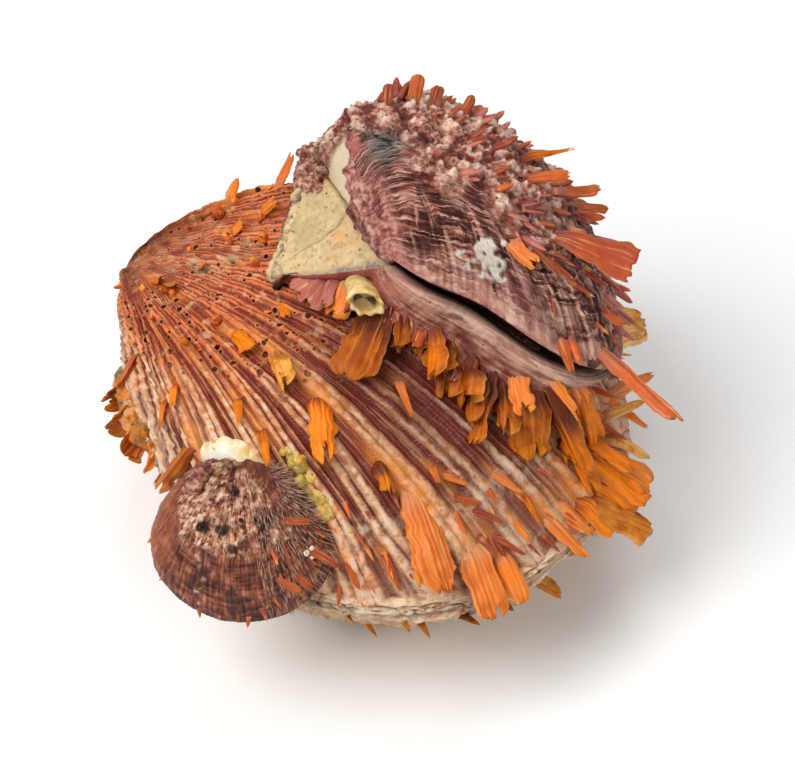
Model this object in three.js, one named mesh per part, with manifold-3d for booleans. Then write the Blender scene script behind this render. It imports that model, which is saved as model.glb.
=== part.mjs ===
// A natural cluster of three spiny oysters. The large one lies on the flat scar where it was
// cemented to the sea bed, a medium one grew on its back and a small one on its front edge.
// Every oyster is two thick hollow valves, and each valve carries its own ribs, spines and leaves.
// Millimetres, +Z up. The origin is the middle of the flat scar.
import * as THREE from "three";
import { mergeVertices } from "three/addons/utils/BufferGeometryUtils.js";
import Module from "manifold-3d";

// Driving dimensions
const GAP = 0.35; // clearance between neighbouring pieces
const SEAT_HEIGHT = 38; // the large shell's closing plane above the scar
const SEED = 20;
const INNER_ROWS = 3;
const MERGE = 1e-3;
const BIG = 400; // side of a block that stands for a half space
const CLOSING_TRIM = 0.45; // where leaves stop before the closing plane, as a share of the clearance
const BOWL_FLATNESS = 4; // power of the lower cup's section: a higher one is flatter below
const BOWL_START = 4; // how soon the cup leaves the beak
const SIDE_FLATNESS = 4; // power that lets a dome fall to the hinge at both ends of the fan
const RIB_FADE = 6; // power that lets ribs fade out at the margin
const INNER_BEAK_SHIFT = 2; // the hollow's beak stands forward by this share of the wall
const INNER_BEAK_DROP = 1.2; // and lower by this share
const INNER_DOME_DROP = 0.9; // and the hollow's dome is lower by this share
const LEAST_BEAK = 1;
const SEAT_GROWTH = 1.5; // the seat's clearance at the large margin, in clearances

// A shell's plan is drawn from the middle of its hinge: x across, y along the growth direction.
// The margin is a circle about `centre`, drawn to a point at the hinge over the angles `fan`.
// Each lobe swells the margin: angle in degrees, width in degrees, share of the radius.
// A spread under 1 opens the fan of ribs early, for a blunt beak.
// A valve's beak is [across, along, height], and its bulge rises as t^rise * (1 - t^fall).
const LARGE = {
  along: [0.88, -0.475, 0],
  up: [0, 0, 1],
  centre: [0, 74],
  radius: 57,
  sharpness: 16,
  fan: [-165, 165],
  spread: 0.78,
  lobes: [],
  upper: { beak: [0, -4, 12], bulge: 27, rise: 0.5, fall: 3, wall: 8, ribs: 26, ribHeight: 1.1, rows: 7 },
  lower: { beak: [0, -4, 12], bowl: 37, wall: 8, ribs: 20, ribHeight: 1.1, rows: 7 },
};
const MEDIUM = {
  hinge: [-12, 25, 88],
  along: [0.773, 0.423, -0.475],
  up: [0.42, 0.22, 0.88],
  centre: [-14, 36],
  radius: 37,
  sharpness: 16,
  fan: [-168, 136],
  spread: 0.85,
  lobes: [
    [-86, 26, 0.32],
    [-130, 25, -0.12],
    [136, 22, 0.35],
  ],
  gape: { height: 3, at: -0.5, width: 0.25 },
  upper: { beak: [8, -4, 17], bulge: 17, rise: 0.5, fall: 3, wall: 5, ribs: 20, ribHeight: 0.8, rows: 6 },
  lower: { beak: [0, -11, 21], bulge: 12, rise: 0.7, fall: 8, wall: 5, ribs: 16, ribHeight: 0.6, rows: 6 },
};
const SMALL = {
  hinge: [-35.6, -30.6, 61],
  along: [-0.02, -0.75, -0.66],
  up: [-0.15, -0.643, 0.766],
  centre: [0, 19],
  radius: 20,
  sharpness: 16,
  fan: [-148, 148],
  spread: 0.8,
  lobes: [
    [-75, 40, 0.12],
    [75, 40, 0.12],
  ],
  upper: { beak: [0, 0, 3], bulge: 7, rise: 0.6, fall: 3, wall: 2.4, ribs: 12, ribHeight: 0.4, rows: 5 },
  lower: { beak: [0, -8, 3], bulge: 6, rise: 0.7, fall: 4, wall: 2.4, ribs: 12, ribHeight: 0.3, rows: 4 },
};
LARGE.hinge = [-LARGE.centre[1] * LARGE.along[0], -LARGE.centre[1] * LARGE.along[1], SEAT_HEIGHT];

// Leaves and spines that stand out, each by where it grows (s round the margin from -1 to 1, t from
// beak to margin), length, width, lift off the shell, veer from the growth direction, curl along its
// length, and the tip's width as a share of the base's. Angles are in degrees.
const LARGE_UPPER_LEAVES = [
  [-0.29, 0.61, 21, 7.5, 12, -32, 10, 0.5],
  [-0.25, 0.81, 27, 9, 8, -20, 4, 1.1],
  [-0.23, 0.93, 21, 8, 18, -20, 0, 1.2],
  [-0.19, 0.96, 13, 6, 15, -18, 0, 0.7],
  [-0.45, 0.64, 6, 4, 8, 5, 0, 0.5],
  [-0.48, 0.62, 9, 3.6, 20, -15, 10, 0.4],
  [-0.28, 0.47, 19, 6, 12, -28, 0, 0.6],
  [-0.33, 0.38, 9, 5, 15, -5, 0, 0.7],
  [-0.11, 0.65, 12, 3, 10, -32, 15, 0.4],
  [-0.28, 0.76, 8, 4.6, 15, -18, 0, 0.5],
  [-0.57, 0.47, 6, 4, 25, -10, 0, 0.5],
  [-0.82, 0.62, 9, 4, 45, 0, 0, 0.5],
  [0.65, 0.46, 9, 5, 60, 10, 0, 0.4],
  [0.66, 0.31, 6, 5, 45, 0, 0, 0.6],
  [0.05, 0.27, 8, 4, 30, 0, 0, 0.5],
  [-0.09, 0.95, 15, 6, 8, 0, 0, 0.4],
  [0.06, 0.96, 19, 8, 12, 0, 0, 1.1],
  [0.0, 0.96, 20, 8, 2, 4, 0, 1.1],
  [-0.1, 0.85, 8, 3.4, 25, -25, 0, 0.4],
  [-0.17, 0.85, 7, 3.2, 25, -5, 0, 0.4],
  [-0.34, 0.93, 9, 3.6, 15, -12, 0, 0.4],
  [-0.4, 0.94, 7, 3.4, 20, -5, 0, 0.4],
];
const LARGE_LOWER_LEAVES = [
  [-0.96, 0.86, 9, 7, 75, 0, 0, 1],
  [-0.92, 0.84, 10, 8, 75, 0, 0, 1],
  [-0.87, 0.84, 9, 7, 70, 0, 0, 0.9],
  [0.29, 0.92, 17, 6, 50, 0, 0, 0.8],
  [0.23, 0.92, 14, 7, 50, 0, 0, 0.9],
  [0.17, 0.92, 12, 7, 50, 0, 0, 0.9],
  [0.09, 0.92, 13, 7, 50, 0, 0, 0.8],
];
const MEDIUM_UPPER_LEAVES = [
  [0.45, 0.15, 5, 3, 45, 60, 0, 0.6],
  [0.42, 0.27, 7, 4, 50, 60, 0, 0.6],
  [0.35, 0.33, 5, 3, 45, 60, 0, 0.6],
  [0.25, 0.4, 6, 3, 45, 50, 0, 0.6],
  [0.03, 0.54, 15, 4, 22, 20, 8, 0.4],
  [-0.07, 0.66, 10, 4, 45, 8, 0, 0.5],
  [-0.17, 0.51, 11, 3.6, 40, 0, 0, 0.5],
  [-0.01, 0.77, 8, 3.4, 45, 10, 0, 0.5],
  [-0.41, 0.62, 21, 8, 28, 5, 0, 1.3],
  [-0.45, 0.94, 27, 7, 40, -4, 8, 0.5],
  [-0.59, 0.69, 9, 4, 14, 25, 0, 0.7],
  [-0.52, 0.67, 9, 3, 14, 0, 10, 0.4],
  [-0.54, 0.95, 8, 4, 25, 8, 0, 0.4],
  [-0.4, 0.86, 7, 3.4, 40, -20, 0, 0.5],
];
const MEDIUM_LOWER_LEAVES = [
  [-0.92, 0.83, 21, 11, 52, 118, 0, 1.2],
  [-0.78, 0.91, 11, 7.5, 43, 118, 15, 0.9],
  [-0.69, 0.91, 12, 8.5, 32, 110, 10, 1],
  [-0.62, 0.92, 16, 7, 29, 110, 0, 0.9],
  [-0.59, 0.93, 15, 7, 28, 105, 0, 0.9],
  [-0.55, 0.93, 17, 10, 28, 100, 0, 1],
  [-0.52, 0.95, 29, 8, 30, 95, 0, 0.5],
  [-0.5, 0.97, 21, 6, 12, 104, 0, 0.5],
  [-0.47, 0.97, 25, 4.5, 40, 121, 0, 0.5],
];

// Rows of smaller spines that follow a rule: s from, s to, count, t from, t to, length from, length to.
const LARGE_UPPER_ROWS = [[0.16, 0.92, 11, 0.93, 0.96, 9, 16]];
const LARGE_LOWER_ROWS = [
  [-0.42, 0.95, 15, 0.86, 0.95, 8, 17],
  [-0.8, 0.85, 4, 0.7, 0.76, 7, 11],
];
const MEDIUM_UPPER_ROWS = [
  [-0.3, 0.8, 9, 0.82, 0.94, 8, 15],
  [-0.25, 0.7, 4, 0.58, 0.72, 6, 10],
];
const MEDIUM_LOWER_ROWS = [[-0.36, 0.5, 8, 0.88, 0.95, 8, 15]];
const SMALL_UPPER_ROWS = [
  [0.3, 0.75, 4, 0.8, 0.92, 4, 7],
  [-0.1, 0.2, 2, 0.93, 0.96, 3, 4],
];

// Shape of a leaf and of a plain spine: the points round the section (across, off the shell) and the
// stations along the way
const LEAF = {
  section: [
    [-1, 0],
    [-0.5, 1],
    [0.5, 1],
    [1, 0],
    [0.5, -0.7],
    [-0.5, -0.7],
  ],
  stations: [0, 0.45, 1],
};
const SPINE = {
  section: [
    [-1, 0],
    [0, 1],
    [1, 0],
    [0, -0.7],
  ],
  stations: [0, 1],
};
const LEAF_ROOT = 2.2; // depth of a leaf's root inside the shell
const LEAF_THICKNESS = 0.16; // half thickness as a share of the width
const LEAF_LEAST_HALF = 0.75;
const LEAF_SINK = 0.4; // how far the root also sinks straight in, as a share of its depth
const LEAF_THINNING = 0.6; // share of the thickness lost at the tip
const ROW_LIFT = [10, 40];
const ROW_VEER = [-8, 8];
const ROW_PLACE = [0.3, 0.7]; // where a spine stands within its share of the row
const ROW_WIDTH_SHARE = 0.36;
const ROW_TIP = 0.5;
const FRAME_STEP = 0.01; // step in s and t that finds a valve's directions

const wasm = await Module();
wasm.setup();
const radians = THREE.MathUtils.degToRad;

// A fixed run of random numbers from 0 to 1
function randomRun(seed) {
  let state = seed;
  return () => {
    state = (Math.imul(state, 1664525) + 1013904223) >>> 0;
    return state / 4294967296;
  };
}
const random = randomRun(SEED);
const between = (low, high) => low + (high - low) * random();

// Solids: meshes in and out of the boolean library
function solidOf(geometry) {
  const plain = geometry.clone();
  plain.deleteAttribute("normal");
  plain.deleteAttribute("uv");
  const merged = mergeVertices(plain, MERGE);
  return new wasm.Manifold(
    new wasm.Mesh({
      numProp: 3,
      vertProperties: new Float32Array(merged.attributes.position.array),
      triVerts: new Uint32Array(merged.index.array),
    }),
  );
}

function geometryOf(points, faces) {
  const geometry = new THREE.BufferGeometry();
  const corners = points.flatMap((p) => [p.x, p.y, p.z]);
  geometry.setAttribute("position", new THREE.Float32BufferAttribute(corners, 3));
  geometry.setIndex(faces.flat());
  return geometry;
}

// A closed surface whose faces may point in or out, made a solid whose faces point out
function outwardSolid(points, faces) {
  let sixVolumes = 0;
  for (const [a, b, c] of faces) {
    sixVolumes += points[a].dot(points[b].clone().cross(points[c]));
  }
  const outward = sixVolumes > 0 ? faces : faces.map(([a, b, c]) => [a, c, b]);
  return solidOf(geometryOf(points, outward));
}

function meshOf(name, solid, finish) {
  const made = solid.getMesh();
  const geometry = new THREE.BufferGeometry();
  geometry.setAttribute("position", new THREE.BufferAttribute(new Float32Array(made.vertProperties), 3));
  geometry.setIndex(new THREE.BufferAttribute(new Uint32Array(made.triVerts), 1));
  geometry.computeVertexNormals();
  const mesh = new THREE.Mesh(geometry, new THREE.MeshStandardMaterial(finish));
  mesh.name = name;
  return mesh;
}

// The shell's own axes: along from hinge to margin, up out of the upper valve, across the hinge
function axesOf(shell) {
  const along = new THREE.Vector3(...shell.along).normalize();
  const up = new THREE.Vector3(...shell.up);
  up.addScaledVector(along, -up.dot(along)).normalize();
  return { hinge: new THREE.Vector3(...shell.hinge), along, up, across: up.clone().cross(along) };
}

// The margin's plan at a place s from -1 to 1, and its distance from the centre
function marginOf(shell, s) {
  const [first, last] = shell.fan;
  const angle = first + ((s + 1) / 2) * (last - first);
  let swell = 1;
  for (const [at, width, share] of shell.lobes) {
    swell += share * Math.exp(-(((angle - at) / width) ** 2));
  }
  const point = ((1 - Math.cos(radians(angle))) / 2) ** shell.sharpness;
  const reach = shell.radius * swell * (1 - point) + shell.centre[1] * point;
  const x = shell.centre[0] + reach * Math.sin(radians(angle));
  const y = shell.centre[1] + reach * Math.cos(radians(angle));
  return { x, y, reach };
}

// Height of a valve's wall over the closing plane, apart from its beak
function bulgeOf(shell, valve, s, t, x, y) {
  if (valve.bowl) {
    const { reach } = marginOf(shell, s);
    const away = Math.hypot(x - shell.centre[0], y - shell.centre[1]) / reach;
    return valve.bowl * Math.max(0, 1 - away ** BOWL_FLATNESS) * Math.min(1, t * BOWL_START);
  }
  const crest = (valve.rise / (valve.rise + valve.fall)) ** (1 / valve.fall);
  const most = crest ** valve.rise * (1 - crest ** valve.fall);
  const sides = Math.sqrt(1 - Math.abs(s) ** SIDE_FLATNESS);
  return (valve.bulge / most) * t ** valve.rise * (1 - t ** valve.fall) * sides;
}

// A point of a valve in the cluster's frame. inset is 0 on the outside and the wall on the inside.
function valvePoint(shell, side, s, t, inset = 0, rib = 0) {
  const valve = side > 0 ? shell.upper : shell.lower;
  const margin = marginOf(shell, s);
  const keep = 1 - inset / margin.reach;
  const edgeX = shell.centre[0] + (margin.x - shell.centre[0]) * keep;
  const edgeY = shell.centre[1] + (margin.y - shell.centre[1]) * keep;
  const [beakX, beakY, beakZ] = valve.beak;
  const opened = t ** shell.spread;
  const x = (1 - opened) * beakX + opened * edgeX;
  const y = (1 - t) * (beakY + INNER_BEAK_SHIFT * inset) + t * edgeY;
  const gape = side > 0 && shell.gape ? shell.gape : { height: 0, at: 0, width: 1 };
  const lip = GAP / 2 + gape.height * Math.exp(-(((s - gape.at) / gape.width) ** 2));
  const share = 1 - (INNER_DOME_DROP * inset) / (valve.bulge ?? valve.bowl);
  const dome = bulgeOf(shell, valve, s, t, x, y) * share;
  const beak = Math.max(beakZ - INNER_BEAK_DROP * inset, LEAST_BEAK);
  const z = (1 - t) * beak + t * lip + dome + rib * t * (1 - t ** RIB_FADE);
  const { hinge, along, up, across } = axesOf(shell);
  return hinge
    .clone()
    .addScaledVector(across, x)
    .addScaledVector(along, y)
    .addScaledVector(up, side * z);
}

// A fan of triangles from the beak to the margin. Rings close across the hinge.
function addFan(points, faces, columns, rows, place) {
  const tip = points.length;
  points.push(place(0, 0));
  for (let row = 1; row <= rows; row += 1) {
    for (let column = 0; column <= columns; column += 1) points.push(place(column, row));
  }
  const ring = columns + 1;
  for (let column = 0; column < ring; column += 1) {
    const next = (column + 1) % ring;
    faces.push([tip, tip + 1 + column, tip + 1 + next]);
    for (let row = 1; row < rows; row += 1) {
      const here = tip + 1 + (row - 1) * ring;
      faces.push([here + column, here + ring + column, here + ring + next]);
      faces.push([here + column, here + ring + next, here + next]);
    }
  }
  return tip + 1 + (rows - 1) * ring;
}

// One bare valve: ribbed outside, smooth inside, and a flat rim between. A filled one has no inside.
function bareValve(shell, side, filled = false) {
  const valve = side > 0 ? shell.upper : shell.lower;
  const columns = 2 * valve.ribs;
  const sOf = (column) => -1 + (2 * column) / columns;
  const points = [];
  const faces = [];
  const outer = addFan(points, faces, columns, valve.rows, (column, row) => {
    const rib = column % 2 === 0 ? 0 : valve.ribHeight;
    return valvePoint(shell, side, sOf(column), row / valve.rows, 0, rib);
  });
  const ring = columns + 1;
  if (filled) {
    const { hinge, along, across } = axesOf(shell);
    const middle = points.length;
    const [centreX, centreY] = shell.centre;
    points.push(hinge.clone().addScaledVector(across, centreX).addScaledVector(along, centreY));
    for (let column = 0; column < ring; column += 1) {
      faces.push([middle, outer + ((column + 1) % ring), outer + column]);
    }
    return outwardSolid(points, faces);
  }
  const insideFaces = [];
  const inner = addFan(points, insideFaces, columns, INNER_ROWS, (column, row) =>
    valvePoint(shell, side, sOf(column), row / INNER_ROWS, valve.wall),
  );
  faces.push(...insideFaces.map(([a, b, c]) => [a, c, b]));
  for (let column = 0; column < ring; column += 1) {
    const next = (column + 1) % ring;
    faces.push([outer + column, inner + column, inner + next]);
    faces.push([outer + column, inner + next, outer + next]);
  }
  return outwardSolid(points, faces);
}

// Where something grows on a valve: the place, the growth direction and the way out
function growthFrame(shell, side, s, t) {
  const place = valvePoint(shell, side, s, t);
  const growth = place.clone().sub(valvePoint(shell, side, s, t - FRAME_STEP)).normalize();
  const sideways = valvePoint(shell, side, s + FRAME_STEP, t).sub(valvePoint(shell, side, s - FRAME_STEP, t));
  const out = growth.clone().cross(sideways).normalize();
  const { hinge, along, across } = axesOf(shell);
  const [centreX, centreY] = shell.centre;
  const middle = hinge.addScaledVector(across, centreX).addScaledVector(along, centreY);
  if (out.dot(place.clone().sub(middle)) < 0) out.negate();
  return { place, growth, out };
}

// One leaf or spine: a flat blade that curls as it grows, rooted inside the wall
function leaf(shell, side, form, [s, t, length, width, lift, veer, curl, tip]) {
  const { place, growth, out } = growthFrame(shell, side, s, t);
  const heading = growth.clone().applyAxisAngle(out, radians(side * veer));
  const wide = out.clone().cross(heading);
  const half = Math.max(width * LEAF_THICKNESS, LEAF_LEAST_HALF);
  const points = [];
  const direction = heading.clone().multiplyScalar(Math.cos(radians(lift)));
  direction.addScaledVector(out, Math.sin(radians(lift)));
  const at = place.clone().addScaledVector(direction, -LEAF_ROOT);
  at.addScaledVector(out, -LEAF_SINK * LEAF_ROOT);
  let before = 0;
  for (const station of form.stations) {
    const angle = radians(lift + curl * station);
    direction.copy(heading).multiplyScalar(Math.cos(angle)).addScaledVector(out, Math.sin(angle));
    at.addScaledVector(direction, (length + LEAF_ROOT) * (station - before));
    before = station;
    const thickDirection = direction.clone().cross(wide).normalize();
    const halfWidth = (width / 2) * (1 + (tip - 1) * station);
    const halfThick = half * (1 - LEAF_THINNING * station);
    for (const [u, v] of form.section) {
      const corner = at.clone().addScaledVector(wide, u * halfWidth);
      points.push(corner.addScaledVector(thickDirection, v * halfThick));
    }
  }
  return outwardSolid(points, tubeFaces(form.section.length, form.stations.length));
}

// Faces of a closed tube of sections, with a fan over each end
function tubeFaces(sides, sections) {
  const faces = [];
  for (let section = 0; section + 1 < sections; section += 1) {
    for (let corner = 0; corner < sides; corner += 1) {
      const next = (corner + 1) % sides;
      const a = section * sides;
      faces.push([a + corner, a + next, a + sides + next]);
      faces.push([a + corner, a + sides + next, a + sides + corner]);
    }
  }
  const last = (sections - 1) * sides;
  for (let corner = 1; corner + 1 < sides; corner += 1) {
    faces.push([0, corner + 1, corner]);
    faces.push([last, last + corner, last + corner + 1]);
  }
  return faces;
}

// The spines of a row, spread evenly round the margin with a little chance in each
function rowLeaves(rows) {
  return rows.flatMap(([sFrom, sTo, count, tFrom, tTo, shortest, longest]) =>
    Array.from({ length: count }, (_, index) => {
      const s = sFrom + ((index + between(...ROW_PLACE)) / count) * (sTo - sFrom);
      const length = between(shortest, longest);
      const lift = between(...ROW_LIFT);
      const veer = between(...ROW_VEER);
      return [s, between(tFrom, tTo), length, length * ROW_WIDTH_SHARE, lift, veer, 0, ROW_TIP];
    }),
  );
}

// The half space on the far side of a shell's closing plane
function otherHalf(shell, side) {
  const { hinge, along, up, across } = axesOf(shell);
  const block = new THREE.BoxGeometry(BIG, BIG, BIG);
  block.translate(0, 0, -side * (BIG / 2 - CLOSING_TRIM * GAP));
  block.applyMatrix4(new THREE.Matrix4().makeBasis(across.negate(), along, up).setPosition(hinge));
  return solidOf(block);
}

// A valve with all that grows on it, kept on its own side of the closing plane
function dressedValve(shell, side, leaves, rows) {
  let solid = bareValve(shell, side);
  for (const one of leaves) solid = solid.add(leaf(shell, side, LEAF, one));
  for (const one of rowLeaves(rows)) solid = solid.add(leaf(shell, side, SPINE, one));
  return solid.subtract(otherHalf(shell, side));
}

// A filled large shell, grown by the clearance, that cuts the seats of the two shells on it
function seatCutter() {
  const scale = 1 + (SEAT_GROWTH * GAP) / LARGE.radius;
  const middle = [0, 0, SEAT_HEIGHT];
  const whole = bareValve(LARGE, 1, true).add(bareValve(LARGE, -1, true));
  return whole
    .translate(middle.map((value) => -value))
    .scale(scale)
    .translate(middle);
}

// The half space under the surface that the cluster rests on
function ground() {
  const block = new THREE.BoxGeometry(BIG, BIG, BIG);
  block.translate(0, 0, -BIG / 2);
  return solidOf(block);
}

const seat = seatCutter();
const cluster = new THREE.Group();
cluster.add(
  meshOf("large_lower_valve", dressedValve(LARGE, -1, LARGE_LOWER_LEAVES, LARGE_LOWER_ROWS).subtract(ground()), {
    color: 0xc9a684,
    roughness: 0.75,
    metalness: 0,
  }),
  meshOf("large_upper_valve", dressedValve(LARGE, 1, LARGE_UPPER_LEAVES, LARGE_UPPER_ROWS), {
    color: 0xb8623f,
    roughness: 0.6,
    metalness: 0,
  }),
  meshOf(
    "medium_lower_valve",
    dressedValve(MEDIUM, -1, MEDIUM_LOWER_LEAVES, MEDIUM_LOWER_ROWS).subtract(seat),
    { color: 0xd08a48, roughness: 0.65, metalness: 0 },
  ),
  meshOf("medium_upper_valve", dressedValve(MEDIUM, 1, MEDIUM_UPPER_LEAVES, MEDIUM_UPPER_ROWS), {
    color: 0x7a4a45,
    roughness: 0.6,
    metalness: 0,
  }),
  meshOf("small_lower_valve", dressedValve(SMALL, -1, [], []).subtract(seat), {
    color: 0xa08070,
    roughness: 0.7,
    metalness: 0,
  }),
  meshOf("small_upper_valve", dressedValve(SMALL, 1, [], SMALL_UPPER_ROWS).subtract(seat), {
    color: 0x6e4238,
    roughness: 0.65,
    metalness: 0,
  }),
);

export default cluster;
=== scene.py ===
import math

import bmesh
import bpy
import numpy as np
from mathutils import Matrix, Vector


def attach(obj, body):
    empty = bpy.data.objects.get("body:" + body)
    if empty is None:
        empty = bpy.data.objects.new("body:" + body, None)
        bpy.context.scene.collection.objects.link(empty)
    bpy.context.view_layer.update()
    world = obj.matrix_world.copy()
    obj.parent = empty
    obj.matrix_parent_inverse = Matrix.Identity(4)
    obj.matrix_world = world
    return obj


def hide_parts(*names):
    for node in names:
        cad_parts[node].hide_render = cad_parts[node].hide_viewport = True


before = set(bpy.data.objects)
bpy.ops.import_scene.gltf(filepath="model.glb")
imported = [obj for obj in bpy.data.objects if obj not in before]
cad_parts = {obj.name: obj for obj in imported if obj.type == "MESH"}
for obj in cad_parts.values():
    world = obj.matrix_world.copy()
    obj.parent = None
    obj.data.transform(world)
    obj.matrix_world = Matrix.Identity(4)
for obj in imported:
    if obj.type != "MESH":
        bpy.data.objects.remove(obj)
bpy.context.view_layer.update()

# A cluster of three spiny oysters: shapes are worked out in millimetres and stored in metres.
MM = 0.001
SEED = 20
GAP = 0.35
SEAT_HEIGHT = 38.0

# Plans of the three shells, as in the solids: x across the hinge, y along the growth direction
LARGE = dict(
    hinge=(-65.12, 35.15, SEAT_HEIGHT), along=(0.88, -0.475, 0), up=(0, 0, 1),
    centre=(0, 74), radius=57, sharpness=16, fan=(-165, 165), spread=0.78, lobes=(), gape=None,
    upper=dict(beak=(0, -4, 12), bulge=27, rise=0.5, fall=3, wall=8),
    lower=dict(beak=(0, -4, 12), bowl=37, wall=8),
)
MEDIUM = dict(
    hinge=(-12, 25, 88), along=(0.773, 0.423, -0.475), up=(0.42, 0.22, 0.88),
    centre=(-14, 36), radius=37, sharpness=16, fan=(-168, 136), spread=0.85,
    lobes=((-86, 26, 0.32), (-130, 25, -0.12), (136, 22, 0.35)), gape=(3, -0.5, 0.25),
    upper=dict(beak=(8, -4, 17), bulge=17, rise=0.5, fall=3, wall=5),
    lower=dict(beak=(0, -11, 21), bulge=12, rise=0.7, fall=8, wall=5),
)
SMALL = dict(
    hinge=(-35.6, -30.6, 61), along=(-0.02, -0.75, -0.66), up=(-0.15, -0.643, 0.766),
    centre=(0, 19), radius=20, sharpness=16, fan=(-148, 148), spread=0.8,
    lobes=((-75, 40, 0.12), (75, 40, 0.12)), gape=None,
    upper=dict(beak=(0, 0, 3), bulge=7, rise=0.6, fall=3, wall=2.4),
    lower=dict(beak=(0, -8, 3), bulge=6, rise=0.7, fall=4, wall=2.4),
)
BOWL_FLATNESS = 4
BOWL_START = 4
SIDE_FLATNESS = 4

# Camera: where it looks and from where, in millimetres and degrees
LOOK_AT = (0.9, 4.2, 48.0)
CAMERA_DISTANCE = 620.0
CAMERA_ELEVATION = 50.0
LENS = 112.3
SENSOR_WIDTH = 36

# Stage, in metres and watts: lights with their place, size and power, and what they point at
LIGHTS = (
    ("key_light", (-0.5, -0.2, 0.82), 0.62, 8.2),
    ("fill_light", (0.5, -0.62, 0.5), 0.7, 2.0),
    ("top_light", (0.1, 0.4, 0.9), 0.5, 2.6),
)
LIGHT_TARGET = (0, 0, 0.04)
WORLD_LIGHT = 0.27
FLOOR_REACH = 3.0

# Leaves: where each grows (s round the margin, t from beak to margin), length, width, lift, veer, curl,
# tip share, tone (0 pink, 0.5 orange, 1 yellow) and how ragged it is
LARGE_UPPER_LEAVES = (
    (-0.25, 0.59, 20, 6.5, 4, -39, 8, 0.9, 0.57, 0.8),
    (-0.24, 0.81, 27, 7.5, 4, -23, 4, 1.3, 0.42, 0.5),
    (-0.245, 0.82, 23, 6, 1, -29, 4, 1.2, 0.55, 0.7),
    (-0.22, 0.93, 20, 7.5, 10, -20, 0, 1.3, 0.42, 0.4),
    (-0.19, 0.96, 13, 6, 12, -18, 0, 0.9, 0.5, 0.4),
    (-0.43, 0.66, 10, 3.6, 10, -22, 0, 0.35, 0.6, 0.3),
    (-0.44, 0.58, 8, 3.4, 15, -25, 10, 0.35, 0.62, 0.3),
    (-0.24, 0.45, 17, 6, 6, -32, 0, 0.8, 0.85, 1.0),
    (-0.28, 0.38, 9, 4.5, 14, -15, 0, 0.8, 0.6, 0.9),
    (-0.10, 0.64, 12, 3, 6, -39, 15, 0.35, 0.4, 0.2),
    (-0.26, 0.76, 8, 4.6, 12, -25, 0, 0.7, 0.66, 0.6),
    (-0.08, 0.38, 6, 3, 12, -44, 0, 0.9, 0.6, 0.5),
    (-0.47, 0.39, 6, 3, 20, -32, 20, 0.4, 0.6, 0.3),
    (-0.63, 0.76, 19, 5, 6, -66, 0, 0.8, 0.78, 0.6),
    (-0.82, 0.62, 10, 4.5, 40, 0, 0, 0.45, 0.3, 0.3),
    (-0.7, 0.7, 6, 3, 20, -20, 0, 0.5, 0.6, 0.4),
    (-0.62, 0.6, 5, 3, 20, -20, 0, 0.5, 0.6, 0.4),
    (0.65, 0.46, 9, 5, 60, 10, 0, 0.4, 0.4, 0.3),
    (0.66, 0.31, 6, 5, 45, 0, 0, 0.6, 0.5, 0.6),
    (0.3, 0.22, 4, 4, 40, 0, 0, 0.7, 0.55, 0.8),
    (0.42, 0.3, 5, 4, 40, 0, 0, 0.7, 0.5, 0.8),
    (0.15, 0.33, 9, 4, 12, 40, 0, 0.8, 0.6, 0.8),
    (-0.3, 0.13, 4, 4, 25, 0, 0, 0.8, 0.62, 0.9),
    (-0.26, 0.17, 4, 4, 20, 0, 0, 0.8, 0.62, 0.9),
    (-0.09, 0.95, 15, 6, 8, 0, 0, 0.4, 0.45, 0.3),
    (0.053, 0.955, 19, 9, 10, 12, 0, 1.3, 0.5, 0.22),
    (0.036, 0.93, 22.5, 9, 7, 3, 0, 1.15, 0.58, 0.22),
    (-0.016, 0.98, 21, 9, 0, 24, 0, 1.15, 0.82, 0.22),
    (0.02, 0.96, 17, 8, 4, 14, 0, 1.1, 0.62, 0.3),
    (0.03, 0.9, 14, 7, 12, -18, 0, 0.8, 0.66, 0.5),
    (0.127, 0.955, 13, 4, 20, 54, 0, 0.5, 0.93, 0.3),
    (0.1, 0.97, 13, 5, 12, 15, 0, 0.6, 0.93, 0.3),
    (-0.11, 0.86, 8, 3.2, 20, -1, 10, 0.35, 0.4, 0.2),
    (-0.14, 0.87, 5, 2.6, 30, -21, 0, 0.4, 0.3, 0.2),
    (-0.19, 0.86, 6, 2.6, 25, 30, 20, 0.4, 0.3, 0.2),
    (-0.18, 0.89, 7, 2.6, 25, 24, 0, 0.4, 0.2, 0.2),
    (-0.14, 0.93, 6, 2.6, 30, -12, 0, 0.4, 0.5, 0.2),
    (-0.18, 0.94, 8, 2.4, 15, 19, 10, 0.35, 0.25, 0.2),
    (-0.1, 0.91, 9, 3, 15, -21, 8, 0.35, 0.6, 0.2),
    (-0.35, 0.92, 9, 3, 12, -3, 0, 0.35, 0.3, 0.2),
    (-0.41, 0.93, 7, 2.8, 16, 1, 0, 0.35, 0.3, 0.2),
    (-0.18, 0.82, 6, 2.6, 26, 19, 0, 0.4, 0.45, 0.2),
    (-0.19, 0.8, 5, 2.6, 30, -32, 0, 0.4, 0.35, 0.2),
    (0.325, 0.97, 29, 8, 20, 42, 0, 1.1, 0.91, 0.2),
    (0.305, 0.97, 30, 8, 13, 44, 0, 1.0, 0.93, 0.2),
    (0.335, 0.97, 28, 7, 11, 36, 0, 1.0, 0.87, 0.2),
    (0.262, 0.96, 15, 6, 4, 2, 0, 0.9, 0.8, 0.5),
    (0.206, 0.985, 17.5, 4.5, 16, 54, 0, 0.5, 0.45, 0.3),
    (0.17, 0.955, 14, 5, 10, -5, 0, 0.6, 0.5, 0.4),
    (0.07, 0.93, 15, 6, 18, -10, 0, 0.7, 0.55, 0.5),
    (-0.03, 0.97, 15, 6, 2, 6, 0, 0.8, 0.6, 0.5),
    (-0.06, 0.95, 13, 4, 10, 2, 0, 0.45, 0.44, 0.3),
)
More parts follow.
